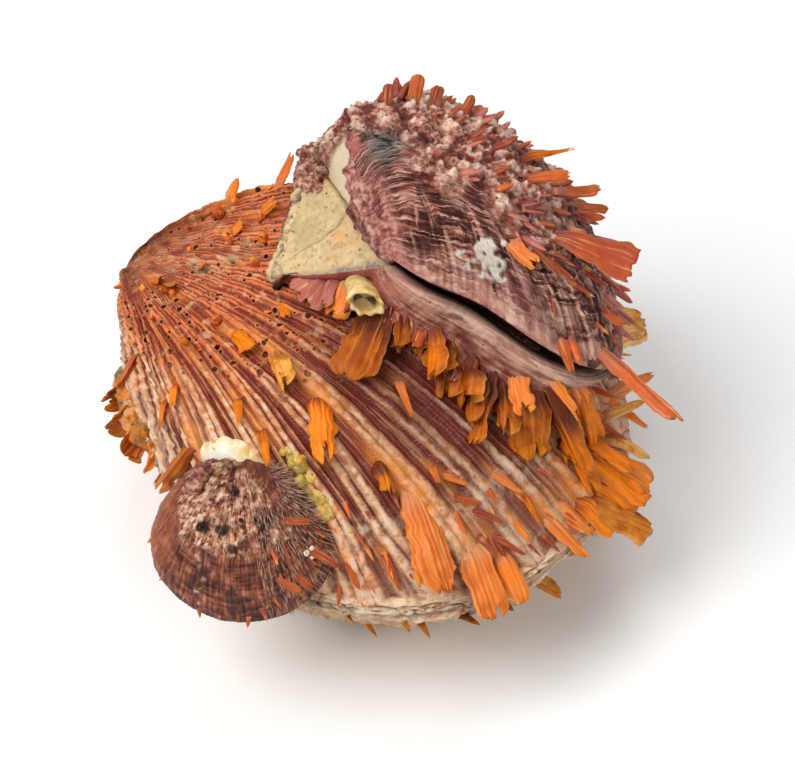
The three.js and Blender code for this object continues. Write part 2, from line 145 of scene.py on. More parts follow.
LARGE_LOWER_LEAVES = (
    (-0.96, 0.86, 9, 7, 75, 0, 0, 1.0, 0.7, 0.9),
    (-0.92, 0.84, 10, 8, 75, 0, 0, 1.0, 0.75, 0.9),
    (-0.87, 0.84, 9, 7, 70, 0, 0, 0.9, 0.7, 0.9),
    (-0.9, 0.93, 7, 3, 55, 0, 0, 0.5, 0.6, 0.4),
    (-0.84, 0.93, 7, 3, 55, 0, 0, 0.5, 0.45, 0.4),
    (-0.8, 0.9, 6, 3, 60, 0, 0, 0.5, 0.5, 0.4),
    (0.29, 0.92, 17, 6, 50, 0, 0, 0.8, 0.95, 0.3),
    (0.23, 0.92, 14, 7, 50, 0, 0, 1.0, 0.85, 0.3),
    (0.17, 0.92, 12, 7, 50, 0, 0, 1.0, 0.9, 0.4),
    (0.09, 0.92, 13, 7, 50, 0, 0, 0.9, 0.9, 0.4),
    (-0.12, 0.95, 12, 6, 45, 0, 0, 0.6, 0.95, 0.3),
)
MEDIUM_UPPER_LEAVES = (
    (0.45, 0.15, 4.5, 3, 45, 60, 0, 0.9, 0.15, 0.1),
    (0.42, 0.27, 6, 4, 50, 60, 0, 0.9, 0.3, 0.1),
    (0.35, 0.33, 4.5, 3, 45, 60, 0, 0.9, 0.1, 0.1),
    (0.25, 0.4, 5.5, 3, 45, 50, 0, 0.9, 0.2, 0.1),
    (0.03, 0.54, 15, 4, 22, 20, 8, 0.4, 0.6, 0.3),
    (-0.07, 0.66, 10, 4, 45, 8, 0, 0.9, 0.28, 0.2),
    (-0.17, 0.51, 11, 3.6, 40, 0, 0, 0.9, 0.3, 0.2),
    (-0.01, 0.77, 8, 3.4, 45, 10, 0, 0.9, 0.3, 0.4),
    (-0.41, 0.62, 21, 4.6, 28, 5, 0, 2.6, 0.24, 0.35),
    (-0.45, 0.94, 27, 6, 40, -4, 8, 0.7, 0.34, 0.3),
    (-0.59, 0.69, 9, 4, 14, 25, 0, 0.9, 0.45, 0.6),
    (-0.52, 0.67, 9, 3, 14, 0, 10, 0.4, 0.15, 0.2),
    (-0.54, 0.95, 8, 4, 25, 8, 0, 0.4, 0.35, 0.2),
    (-0.4, 0.86, 7, 3.4, 40, -20, 0, 0.8, 0.3, 0.4),
)
MEDIUM_LOWER_LEAVES = (
    (-0.92, 0.86, 22, 8, 51, 118, 4, 1.5, 0.72, 0.35),
    (-0.86, 0.88, 8, 5, 45, 110, 30, 0.9, 0.7, 0.8),
    (-0.815, 0.88, 7, 5, 60, 140, 25, 1.0, 0.3, 0.9),
    (-0.785, 0.91, 14, 6.5, 40, 104, 45, 1.0, 0.64, 0.8),
    (-0.735, 0.89, 9, 6, 40, 95, 40, 1.3, 0.7, 1.0),
    (-0.72, 0.91, 14, 10, 30, 112, 10, 1.3, 0.71, 1.0),
    (-0.665, 0.91, 14, 8, 42, 108, -15, 1.2, 0.7, 0.9),
    (-0.635, 0.9, 15, 6, 25, 100, 30, 1.1, 0.7, 0.9),
    (-0.61, 0.92, 19, 6, 33, 118, 15, 1.1, 0.67, 0.8),
    (-0.59, 0.92, 15, 6, 18, 96, 35, 1.0, 0.7, 0.9),
    (-0.575, 0.94, 11, 6, 40, 75, 20, 0.9, 0.5, 0.8),
    (-0.55, 0.93, 19, 10, 30, 104, -6, 1.2, 0.74, 0.6),
    (-0.515, 0.95, 31, 8, 29, 95, 0, 0.5, 0.66, 0.4),
    (-0.53, 0.97, 12, 5, 20, 80, 15, 0.6, 0.5, 0.5),
    (-0.49, 0.98, 22, 6.5, 12, 106, 5, 0.6, 0.52, 0.5),
    (-0.46, 0.98, 26, 5, 38, 122, -8, 0.4, 0.6, 0.4),
    (-0.48, 0.95, 19, 7, 48, 118, 10, 0.9, 0.62, 0.6),
    (-0.985, 0.3, 5, 5, 40, 150, 0, 1.3, 0.0, 1.0),
    (-0.985, 0.4, 7, 6, 30, 115, 20, 1.3, 0.05, 0.9),
    (-0.985, 0.5, 7, 5, 20, 110, 20, 1.2, 0.0, 1.0),
    (-0.98, 0.6, 8, 6, 15, 112, 10, 1.2, 0.5, 0.5),
    (-0.98, 0.7, 7, 5, 10, 115, 10, 1.1, 0.1, 0.9),
    (-0.97, 0.88, 7, 4, 10, 120, 20, 0.8, 0.2, 0.4),
)
SMALL_UPPER_LEAVES = (
    (0.443, 0.491, 7.8, 2.8, 20, 54, 0, 0.5, 0.22, 0.5),
    (0.485, 0.787, 7.8, 3.4, 20, 18, 0, 0.5, 0.24, 0.5),
    (0.243, 0.783, 6.2, 3.4, 20, 48, 0, 0.6, 0.26, 0.6),
    (0.34, 0.82, 5.5, 2.8, 20, 24, 0, 0.5, 0.22, 0.5),
)

# Rows of plain spines: reach in s and in t, count, lengths, width as a share of the length, lift, veer
# and tone
LARGE_UPPER_ROWS = (
    ((0.1, 0.92), (0.9, 0.96), 22, (9, 16), 0.16, (12, 40), 0, 0.45),
    ((-0.62, 0.1), (0.8, 0.985), 84, (3.5, 7), 0.15, (14, 34), -8, 0.28),
    ((0.1, 0.9), (0.55, 0.88), 40, (3, 7), 0.18, (15, 45), 0, 0.35),
    ((-0.9, 0.9), (0.15, 0.45), 26, (1.5, 3), 0.4, (25, 55), 0, 0.55),
)
LARGE_LOWER_ROWS = (
    ((-0.42, 0.95), (0.86, 0.95), 26, (5, 13), 0.19, (15, 45), 0, 0.8),
    ((-0.95, 0.9), (0.55, 0.82), 46, (4, 8), 0.2, (20, 50), 0, 0.6),
)
MEDIUM_UPPER_ROWS = (
    ((-0.3, 0.8), (0.74, 0.96), 34, (5, 9), 0.25, (15, 45), 0, 0.16),
    ((-0.5, 0.8), (0.3, 0.74), 84, (2.2, 5), 0.32, (25, 60), 0, 0.1),
    ((-0.55, -0.3), (0.5, 0.97), 24, (3, 7), 0.18, (12, 35), 0, 0.12),
)
MEDIUM_LOWER_ROWS = (
    ((-0.42, 0.6), (0.8, 0.95), 40, (7, 14), 0.17, (20, 50), 0, 0.5),
    ((-0.93, -0.45), (0.87, 0.9), 46, (2.5, 5), 0.2, (25, 50), 112, 0.05),
)
SMALL_UPPER_ROWS = (
    ((0.15, 0.7), (0.55, 0.92), 6, (3, 6), 0.17, (15, 35), 15, 0.2),
    ((-0.6, 0.2), (0.94, 0.98), 9, (1.2, 3.2), 0.26, (10, 25), 0, 0.12),
)
BRISTLE_ROWS = (
    ((0.15, 0.98), (0.35, 0.98), 700, (1.3, 3.0), 0.11, (20, 55), 0, 0.7),
    ((-0.4, 0.4), (0.2, 0.6), 220, (0.9, 1.8), 0.14, (25, 60), 0, 0.9),
)

# Bored pits in the large shell: s, t, radius and depth
LARGE_PITS = ((0.03, 0.15, 1.3, 1.6), (-0.01, 0.18, 1.9, 2.4), (0.1, 0.22, 1.3, 2.0), (0.21, 0.24, 1.0, 1.4))
# Black blotches on the small shell: s, t and radius
SMALL_SPOTS = (
    (-0.04, 0.2, 1.6), (-0.27, 0.45, 1.7), (-0.11, 0.43, 1.5), (0.28, 0.43, 1.9), (-0.02, 0.53, 1.1),
)
# Lumps of sponge beside the small shell, and of crust at the large one's foot: s, t and radius
SPONGE_SEATS = (
    (-0.41, 0.715, 1.8), (-0.395, 0.73, 2.0), (-0.4, 0.755, 1.6), (-0.415, 0.785, 2.4), (-0.405, 0.81, 2.0),
    (-0.415, 0.83, 2.2), (-0.4, 0.85, 2.4), (-0.395, 0.875, 1.7),
)
CEMENT_SEATS = (
    (-0.985, 0.9, 3.0), (-0.965, 0.8, 4.0), (-0.94, 0.85, 4.6), (-0.91, 0.8, 5.0), (-0.885, 0.85, 4.4),
    (-0.86, 0.8, 4.6), (-0.835, 0.86, 3.0), (-0.93, 0.7, 4.5), (-0.88, 0.7, 4.5), (-0.8, 0.8, 2.6),
)
# Stubs of broken spines on the large shell: s, t and radius
NUB_SEATS = (
    (0.491, 0.214, 2.2), (0.591, 0.292, 1.2), (0.426, 0.131, 1.0), (0.26, 0.2, 1.0), (0.235, 0.205, 1.1),
    (0.21, 0.21, 0.9), (0.232, 0.277, 1.8), (0.369, 0.285, 1.3), (0.35, 0.28, 0.9), (0.09, 0.268, 1.3),
    (0.073, 0.276, 1.5), (-0.474, 0.161, 1.3), (-0.33, 0.175, 1.2), (-0.31, 0.18, 1.5), (-0.29, 0.19, 1.1),
    (-0.275, 0.326, 1.7), (-0.337, 0.461, 0.9), (-0.34, 0.509, 0.7), (-0.06, 0.3, 0.8), (0.15, 0.13, 0.8),
    (-0.15, 0.3, 0.7), (0.02, 0.36, 0.7), (0.3, 0.4, 1.0), (0.45, 0.42, 1.0), (-0.56, 0.3, 0.8),
)
# Crust over the medium hinge: share along the hinge, share down to the beak, and radius
HINGE_CRUST_SEATS = (
    (0.0, -0.02, 4.4), (0.03, 0.08, 4.2), (0.0, 0.15, 3.8), (0.1, 0.1, 3.4), (0.08, 0.18, 3.2),
    (0.0, 0.24, 3.0), (0.14, 0.02, 3.6), (0.16, 0.12, 2.6), (0.05, -0.08, 3.6),
)
# The small shell's cream hinge end: s, t and radius on the large shell
SMALL_HINGE_SEATS = (
    (-0.56, 0.752, 5.4), (-0.525, 0.744, 5.0), (-0.592, 0.77, 3.8), (-0.497, 0.742, 3.2), (-0.54, 0.77, 4.6),
)
# A pale grain caught on the small shell: s, t and radius of its lumps
SMALL_GRAIN_SEATS = ((0.45, 0.77, 0.9), (0.49, 0.79, 0.75), (0.46, 0.82, 0.65))
# The small shell's brown wing beside its hinge: s, t and radius on the small shell
WING_SEATS = (
    (-0.6, 0.36, 2.2), (-0.68, 0.4, 2.6), (-0.76, 0.42, 2.8), (-0.86, 0.46, 2.8), (-0.95, 0.5, 2.4),
    (-0.99, 0.6, 2.2),
)
# Frills between the large valves: height and reach of each, and the outline across one
FRILL_LAYERS = ((-2.6, 3.2), (-1.4, 2.6), (-0.3, 2.0), (0.6, 1.4))
FRILL_PROFILE = (
    (-1.0, 0.0, 0.35), (-0.2, 0.2, 0.4), (0.5, 0.7, 0.3), (1.0, 1.0, 0.12),
    (1.0, 1.0, -0.12), (0.5, 0.7, -0.3), (-0.2, 0.2, -0.4), (-1.0, 0.0, -0.35),
)
# Single values, in millimetres where they are lengths
STUMP_SEAT = (-0.965, 0.78)
STUMP_SHIFT = (-0.3, 0.0, 0.4)
STUMP_AIM = (0.1, -0.85, 0.35)
STUMP_RADIUS = 3.9
STUMP_LENGTH = 7.6
STUMP_SIDES = 40
SPONGE_LUMPS = 3
SLIT_LIFT = 3.4
UMBO_SWELL = 1.0
SKIRT_COUNT = 30
FRILL_STEPS = 480
RIM_COUNT = 12
NOISE_ROUGHNESS = 0.55
SHINE = 0.2
LEAF_SHINE = 0.22
SPINE_ROOT = 1.2
SPINE_SWAY = 14
TONE_SWAY = 0.2
TIP_ROUNDING = 5.0
LEAF_ROOT = 2.2
LEAF_SINK = 1.0
LONG_LEAF = 8.5
LONG_LEAF_GRID = (21, 30)
SHORT_LEAF_GRID = (13, 14)
FAN_TIP = 1.6
INNER_DRAW = 0.9
SHORT_STEP = 0.01
GOLDEN_SHARE = 0.618
INNER_ROWS = 8
rng = np.random.default_rng(SEED)


# Repeatable noise
def lattice(cell, seed):
    """A number from 0 to 1 for each whole-number point."""
    big = cell.astype(np.int64) & 0xFFFFFFFF
    mixed = big[..., 0] * 374761393 + big[..., 1] * 668265263 + big[..., 2] * 1440662683 + seed * 974711
    mixed = mixed & 0xFFFFFFFF
    mixed = ((mixed ^ (mixed >> 13)) * 1274126177) & 0xFFFFFFFF
    return ((mixed ^ (mixed >> 16)) & 0xFFFFFFFF) / 4294967296.0


def noise(points, size, seed=0, octaves=3):
    """Soft noise from -1 to 1 whose largest lumps are about size across."""
    total = 0.0
    weight = 1.0
    whole = 0.0
    place = np.asarray(points, float) / size
    for octave in range(octaves):
        cell = np.floor(place)
        part = place - cell
        part = part * part * (3 - 2 * part)
        value = 0.0
        for corner in np.ndindex(2, 2, 2):
            share = np.prod(np.where(corner, part, 1 - part), axis=-1)
            value = value + share * lattice(cell + corner, seed + 17 * octave)
        total = total + weight * (2 * value - 1)
        whole += weight
        weight *= 0.5
        place = place * 2.03
    return total / whole


def noise_at(x, y, z, seed, octaves=3, size=1.0):
    """Soft noise over three coordinates."""
    return noise(np.stack(np.broadcast_arrays(x, y, z), -1), size, seed, octaves)


def knobs(points, size, seed=0):
    """Distance to the nearest of scattered knobs that stand about size apart, from 0 at a knob."""
    place = np.asarray(points, float) / size
    cell = np.floor(place)
    nearest = np.full(place.shape[:-1], 9.0)
    for corner in np.ndindex(3, 3, 3):
        home = cell + np.array(corner) - 1
        knob = home + np.stack([lattice(home, seed + axis) for axis in range(3)], -1)
        nearest = np.minimum(nearest, np.linalg.norm(place - knob, axis=-1))
    return nearest


def smooth(low, high, value):
    """0 under low, 1 over high, and a soft step between."""
    part = np.clip((value - low) / (high - low), 0, 1)
    return part * part * (3 - 2 * part)


def hump(away, width):
    """1 where away is 0, falling off over the width."""
    return np.exp(-((away / width) ** 2))


def waves(turns):
    """1 at each whole turn and 0 halfway between."""
    return 0.5 + 0.5 * np.cos(2 * np.pi * turns)


def unit(vectors):
    """The same directions with a length of one."""
    return vectors / np.maximum(np.linalg.norm(vectors, axis=-1, keepdims=True), 1e-9)


# The form of a valve
def axes_of(shell):
    """The middle of the hinge, and the directions along, up and across."""
    along = unit(np.array(shell["along"], float))
    up = np.array(shell["up"], float)
    up = unit(up - along * up.dot(along))
    return np.array(shell["hinge"], float), along, up, np.cross(up, along)


def middle_of(shell):
    """The middle of a shell's plan."""
    hinge, along, _, across = axes_of(shell)
    return hinge + shell["centre"][0] * across + shell["centre"][1] * along


def margin_of(shell, s):
    """The margin's x and y at s, and how far it is from the middle."""
    first, last = shell["fan"]
    angle = first + (s + 1) / 2 * (last - first)
    swell = np.ones_like(angle)
    for at, width, share in shell["lobes"]:
        swell = swell + share * hump(angle - at, width)
    turn = np.radians(angle)
    point = ((1 - np.cos(turn)) / 2) ** shell["sharpness"]
    reach = shell["radius"] * swell * (1 - point) + shell["centre"][1] * point
    return shell["centre"][0] + reach * np.sin(turn), shell["centre"][1] + reach * np.cos(turn), reach


def bulge_of(shell, valve, s, t, x, y, reach):
    """How far a valve swells out at s and t."""
    if "bowl" in valve:
        away = np.hypot(x - shell["centre"][0], y - shell["centre"][1]) / reach
        return valve["bowl"] * np.maximum(0, 1 - away**BOWL_FLATNESS) * np.minimum(1, t * BOWL_START)
    rise, fall = valve["rise"], valve["fall"]
    crest = (rise / (rise + fall)) ** (1 / fall)
    most = crest**rise * (1 - crest**fall)
    sides = np.sqrt(np.maximum(0, 1 - np.abs(s) ** SIDE_FLATNESS))
    return valve["bulge"] / most * t**rise * (1 - t**fall) * sides


def valve_points(shell, side, s, t, inset=0.0, flare=0.0):
    """Points of a valve at s round the margin and t from beak to margin, in millimetres."""
    s, t = np.broadcast_arrays(np.asarray(s, float), np.asarray(t, float))
    valve = shell["upper"] if side > 0 else shell["lower"]
    margin_x, margin_y, reach = margin_of(shell, s)
    keep = 1 - (inset - flare) / reach
    edge_x = shell["centre"][0] + (margin_x - shell["centre"][0]) * keep
    edge_y = shell["centre"][1] + (margin_y - shell["centre"][1]) * keep
    beak_x, beak_y, beak_z = valve["beak"]
    opened = t ** shell["spread"]
    x = (1 - opened) * beak_x + opened * edge_x
    y = (1 - t) * (beak_y + 2 * inset) + t * edge_y
    lip = GAP / 2
    if side > 0 and shell["gape"]:
        height, at, width = shell["gape"]
        lip = lip + height * hump(s - at, width)
    share = 1 - 0.9 * inset / valve.get("bulge", valve.get("bowl"))
    dome = bulge_of(shell, valve, s, t, x, y, reach) * share
    beak = max(beak_z - 1.2 * inset, 1)
    z = (1 - t) * beak + t * lip + dome
    hinge, along, up, across = axes_of(shell)
    return hinge + x[..., None] * across + y[..., None] * along + side * z[..., None] * up


class Valve:
    """A fine grid over one valve: rows from beak to margin, columns round it and across the hinge."""

    def __init__(self, shell, side, columns, hinge_columns, rows, flare=None):
        self.shell = shell
        self.side = side
        fan = np.linspace(-1, 1, columns + 1)
        across = np.linspace(1, -1, hinge_columns + 1)[1:-1]
        heights = (np.arange(rows) + 1) / rows
        self.s = np.broadcast_to(np.concatenate([fan, across]), (rows, columns + hinge_columns)).copy()
        self.t = np.broadcast_to(heights[:, None], self.s.shape).copy()
        self.hinge = np.zeros_like(self.s)
        self.hinge[:, columns + 1 :] = 1
        self.turn = np.zeros_like(self.s)
        self.turn[:, columns + 1 :] = (1 - across) / 2
        self.fan_columns = columns + 1
        self.flare = flare if flare is not None else np.zeros(columns + 1)
        self.points = self.surface(0.0, self.t)
        self.normals = self.find_normals(self.points)

    def surface(self, inset, t):
        cut = self.fan_columns
        fan = valve_points(self.shell, self.side, self.s[: len(t), :cut], t[:, :cut], inset, self.flare)
        share = self.turn[: len(t), cut:, None]
        bridge = (1 - share) * fan[:, -1:] + share * fan[:, :1]
        return np.concatenate([fan, bridge], axis=1)

    def find_normals(self, points):
        sideways = np.roll(points, -1, 1) - np.roll(points, 1, 1)
        onward = np.gradient(points, axis=0)
        normals = unit(np.cross(onward, sideways))
        if np.sum(normals * (points - middle_of(self.shell))) < 0:
            normals = -normals
        return normals

    def inner(self, rows):
        wall = (self.shell["upper"] if self.side > 0 else self.shell["lower"])["wall"]
        heights = np.broadcast_to(((np.arange(rows) + 1) / rows)[:, None], (rows, self.s.shape[1]))
        inner = self.surface(wall, heights)
        if self.shell is LARGE and self.side < 0:
            middle = middle_of(self.shell)
            inner = middle + (inner - middle) * INNER_DRAW
        return inner


def growth_frame(shell, side, s, t):
    """Where something grows on a valve: the place, the growth direction and the way out."""
    place = valve_points(shell, side, s, t)
    growth = unit(place - valve_points(shell, side, s, t - SHORT_STEP))
    sideways = valve_points(shell, side, s + SHORT_STEP, t) - valve_points(shell, side, s - SHORT_STEP, t)
    out = unit(np.cross(growth, sideways))
    if out.dot(place - middle_of(shell)) < 0:
        out = -out
    return place, growth, out


# Meshes
def new_object(name, points, faces, marks, uv=None):
    """A smooth mesh with float marks on its points and, for a valve, the growth coordinates."""
    mesh = bpy.data.meshes.new(name)
    mesh.from_pydata((np.asarray(points) * MM).tolist(), [], faces)
    for mark, values in marks.items():
        layer = mesh.attributes.new(mark, "FLOAT", "POINT")
        layer.data.foreach_set("value", np.ascontiguousarray(values, np.float32))
    if uv is not None:
        corners = np.zeros(len(mesh.loops), np.int32)
        mesh.loops.foreach_get("vertex_index", corners)
        layer = mesh.uv_layers.new(name="growth")
        layer.data.foreach_set("uv", np.ascontiguousarray(uv[corners], np.float32).ravel())
    mesh.shade_smooth()
    mesh.update()
    obj = bpy.data.objects.new(name, mesh)
    bpy.context.scene.collection.objects.link(obj)
    return obj


def ring_faces(first, rows, columns, flip):
    """Quads between rows of a closed ring of columns."""
    index = first + np.arange(rows * columns).reshape(rows, columns)
    nearby = np.roll(index, -1, 1)
    quads = np.stack([index[:-1], index[1:], nearby[1:], nearby[:-1]], axis=-1).reshape(-1, 4)
    return (quads[:, ::-1] if flip else quads).tolist()


def fan_faces(tip, ring, flip):
    """Triangles between a tip and a ring."""
    nearby = np.roll(ring, -1)
    triangles = np.stack([np.full_like(ring, tip), ring, nearby], axis=-1)
    return (triangles[:, ::-1] if flip else triangles).tolist()


def capped(rings):
    """A closed shape from rings of points: its points with a tip at each end, and its faces."""
    rows, sides = rings.shape[:2]
    edge = np.arange(sides)
    tips = np.stack([rings[0].mean(axis=0), rings[-1].mean(axis=0)])
    faces = ring_faces(0, rows, sides, False) + fan_faces(rows * sides, edge, False)
    faces += fan_faces(rows * sides + 1, (rows - 1) * sides + edge, True)
    return np.concatenate([rings.reshape(-1, 3), tips]), faces


def joined_object(name, parts):
    """One mesh of closed parts, each with its points, faces and marks."""
    every_face, every_mark = [], {}
    count = 0
    for points, faces, marks in parts:
        every_face += [[corner + count for corner in face] for face in faces]
        for mark, values in marks.items():
            every_mark.setdefault(mark, []).append(values)
        count += len(points)
    marks = {mark: np.concatenate(values) for mark, values in every_mark.items()}
    obj = new_object(name, np.concatenate([part[0] for part in parts]), every_face, marks)
    outward(obj)
    return obj


def valve_object(name, valve, relief, marks):
    """The outside with its relief, the inside and the rim between, as one closed mesh."""
    rows, columns = valve.s.shape
    outer = valve.points + valve.normals * relief[..., None]
    if valve.shell is LARGE and valve.side < 0:
        outer[..., 2] = np.maximum(outer[..., 2], 0.0)
    inner = valve.inner(INNER_ROWS)
    tips = np.stack([outer[0].mean(axis=0), inner[0].mean(axis=0)])
    points = np.concatenate([outer.reshape(-1, 3), inner.reshape(-1, 3), tips])
    start = rows * columns
    tip = start + INNER_ROWS * columns
    flip = valve.side < 0
    ring = np.arange(columns)
    faces = ring_faces(0, rows, columns, flip) + ring_faces(start, INNER_ROWS, columns, not flip)
    faces += fan_faces(tip, ring, flip) + fan_faces(tip + 1, start + ring, not flip)
    edge = (rows - 1) * columns + ring
    lip = start + (INNER_ROWS - 1) * columns + ring
    rim = np.stack([edge, lip, np.roll(lip, -1), np.roll(edge, -1)], axis=-1)
    faces += (rim[:, ::-1] if flip else rim).tolist()
    inside = np.zeros(len(points))
    inside[start : start + INNER_ROWS * columns] = 1
    inside[tip + 1] = 1
    every = {"inside": inside, "hinge": padded(valve.hinge, len(points))}
    every.update({mark: padded(values, len(points)) for mark, values in marks.items()})
    uv = np.zeros((len(points), 2))
    uv[:start, 0] = (valve.s.ravel() + 1) / 2
    uv[:start, 1] = valve.t.ravel()
    uv[start:, 1] = 1
    return new_object(name, points, faces, every, uv)


def padded(values, count):
    """Values of the outside, with zeros for the rest of a mesh."""
    flat = np.zeros(count)
    flat[: values.size] = values.ravel()
    return flat


# Leaves and spines
def leaf_parts(shell, side, spec, seed, seat):
    """One fluted leaf as a closed blade: points, faces and marks."""
    s, t, length, width, lift, veer, curl, tip, tone, ragged = spec
    across, stations = LONG_LEAF_GRID if length > LONG_LEAF else SHORT_LEAF_GRID
    luck = np.random.default_rng(SEED * 100 + seed)
    place, growth, out = growth_frame(shell, side, s, t)
    turn = Matrix.Rotation(math.radians(side * veer), 3, Vector(out))
    heading = np.array(turn @ Vector(growth))
    wide = np.cross(out, heading)
    u = np.linspace(-1, 1, across)[None, :]
    v = np.linspace(0, 1, stations)[:, None]
    angles = np.radians(lift + curl * v + 6 * np.sin(v * luck.uniform(2, 5) + luck.uniform(0, 6)) * v)
    steps = np.cos(angles) * heading + np.sin(angles) * out
    normal = -np.sin(angles) * heading + np.cos(angles) * out
    start = place - steps[0] * LEAF_ROOT - out * LEAF_SINK
    spans = np.concatenate([[[0.0]], np.diff(v, axis=0)]) * (length + LEAF_ROOT)
    line = start + np.cumsum(steps * spans, axis=0) + out * (seat + LEAF_SINK) * smooth(0.02, 0.3, v)
    twist = luck.uniform(-0.5, 0.5) * v + luck.uniform(-1, 1) * (0.12 + 0.5 * ragged)
    sideways = np.cos(twist) * wide + np.sin(twist) * normal
    normal = np.cos(twist) * normal - np.sin(twist) * wide
    taper = (1 - v) ** 2 * 1.0 + 2 * v * (1 - v) * (0.35 + 0.6 * tip) + v**2 * tip
    taper = taper * (0.55 + 0.45 * smooth(0.0, 0.35, v))
    closing = np.sqrt(np.clip(1 - np.clip((v - 0.86) / 0.16, 0, 1) ** 2, 0.25, 1))
    if tip > FAN_TIP:
        closing = np.maximum(closing, 0.85)
    halves = []
    for edge in (0, 1):
        notch = noise_at(v * length / 2.6, 5 * edge, seed * 3.0, 13)
        halves.append(width / 2 * taper * closing * (1 + 0.6 * ragged * notch * np.minimum(1, 3 * v)))
    half = np.where(u < 0, halves[0], halves[1])
    flute_count = max(1.5, min(6.5, width * tip * 0.75))
    slant = 1.2 * noise_at(u * 1.5, v * 1.2, seed * 3.0, 5, 2)
    flute = np.cos(u * math.pi * flute_count + slant * 2 + luck.uniform(0, 6))
    lobes = noise_at(u[0] * 2.6, 0, seed * 7.0, 9)
    pull = (0.05 + 1.1 * ragged) * np.clip(0.1 + 0.5 * lobes[None, :], 0, 0.5)
    cup = luck.uniform(-0.75, 0.0) * half * u**2
    ripple = 0.045 * width * flute * np.minimum(1, v * 3) * (1 - 0.3 * v)
    dents = 0.11 * width * noise_at(v * length, u * width, seed * 5.0, 3, 2, size=3.5)
    lay = cup + ripple + dents * v
    thick = max(0.55, 0.16 * width) * (1 - 0.72 * v) * (1 - 0.6 * u**2)
    middle = line[:, None, :] + sideways[:, None, :] * (u * half)[..., None]
    middle = middle - steps[:, None, :] * (v**5 * pull * length)[..., None]
    top = middle + normal[:, None, :] * (lay + thick / 2)[..., None]
    root = (seat + 1.2) * smooth(0.3, 0.0, v) * (1 - 0.5 * u**2)
    low = middle + normal[:, None, :] * (lay - thick / 2 - root)[..., None]
    ring = 2 * across
    points = np.concatenate([top, low[:, ::-1]], axis=1).reshape(-1, 3)
    faces = ring_faces(0, stations, ring, True)
    last = (stations - 1) * ring
    for i in range(across - 1):
        faces.append([last + i + 1, last + i, last + ring - 1 - i, last + ring - 2 - i])
        faces.append([i, i + 1, ring - 2 - i, ring - 1 - i])
    round_leaf = np.concatenate([u[0], u[0, ::-1]])
    marks = {
        "grow": np.repeat(v[:, 0], ring),
        "across": np.tile(round_leaf, stations),
        "tone": np.full(stations * ring, tone),
        "chance": np.full(stations * ring, luck.uniform(0, 1)),
    }
    return points, faces, marks


def leaves_object(name, shell, side, specs, seed, seat):
    """Leaves of one valve in one mesh."""
    parts = [leaf_parts(shell, side, spec, seed + index, seat) for index, spec in enumerate(specs)]
    return joined_object(name, parts)


def outward(obj):
    """Turns every face of closed shapes to the outside."""
    work = bmesh.new()
    work.from_mesh(obj.data)
    bmesh.ops.recalc_face_normals(work, faces=work.faces)
    work.to_mesh(obj.data)
    work.free()


def lumps_object(name, seats, seed, knob=1.6, rings=18, sides=28):
    """Knobbly lumps in one mesh. Each seat is a centre, a radius, the way it is flattened and by how much."""
    polar = ((np.arange(rings) + 0.5) / rings * math.pi)[:, None]
    turn = (np.arange(sides) / sides * 2 * math.pi)[None, :]
    level = np.sin(polar)
    ball = np.stack(np.broadcast_arrays(level * np.cos(turn), level * np.sin(turn), np.cos(polar)), -1)
    parts = []
    for index, (centre, radius, flat_way, flat) in enumerate(seats):
        spot = np.asarray(centre) + ball * radius
        swell = (0.35 if knob else 0.1) * noise(spot, radius * 1.1, seed, 2)
        if knob:
            swell = swell + 0.28 * smooth(0.7, 0.1, knobs(spot, knob, seed + 5))
        away = ball * radius * (0.85 + swell)[..., None]
        away = away - (1 - flat) * (away @ flat_way)[..., None] * flat_way
        points, faces = capped(np.asarray(centre) + away)
        chance = (index * GOLDEN_SHARE + 0.1) % 1.0
        parts.append((points, faces, {"chance": np.full(len(points), chance)}))
    return joined_object(name, parts)


def stump_object(name, base, axis, radius, length):
    """The hollow stump of a broken spine: a frilled tube with a floor inside."""
    axis = unit(np.asarray(axis, float))
    first = unit(np.cross(axis, (0.3, 0.2, 1.0)))
    second = np.cross(axis, first)
    turn = np.arange(STUMP_SIDES) / STUMP_SIDES * 2 * math.pi
    frill = 0.12 * np.cos(9 * turn) + 0.1 * np.cos(4 * turn + 1)
    profile = (
        (1.05, -0.2, 0, 0), (0.95, 0.3, 0, 0), (0.98, 0.7, 0.4, 0), (1.06, 1.0, 1.0, 0),
        (0.86, 1.0, 1.0, 0.3), (0.74, 0.85, 0.3, 1), (0.62, 0.64, 0, 1), (0.42, 0.58, 0, 1),
        (0.2, 0.56, 0, 1),
    )
    rows, deep, slot = [], [], []
    for share, height, wave, dark in profile:
        wide = radius * share * (1 + frill * wave * 0.6 + 0.12 * np.cos(2 * turn + 0.6))
        rise = length * height + wave * frill * radius * 0.5
        level = np.outer(np.cos(turn) * wide, first) + np.outer(np.sin(turn) * wide * 0.82, second)
        rows.append(np.asarray(base) + level + np.outer(rise, axis))
        deep += [dark] * STUMP_SIDES
        slot += ((share < 0.7) * (np.abs(np.sin(turn)) < 0.5) * 1.0).tolist()
    points, faces = capped(np.stack(rows))
    marks = {"deep": np.array(deep + [0, 1]), "slot": np.array(slot + [0, 0])}
    return joined_object(name, [(points, faces, marks)])


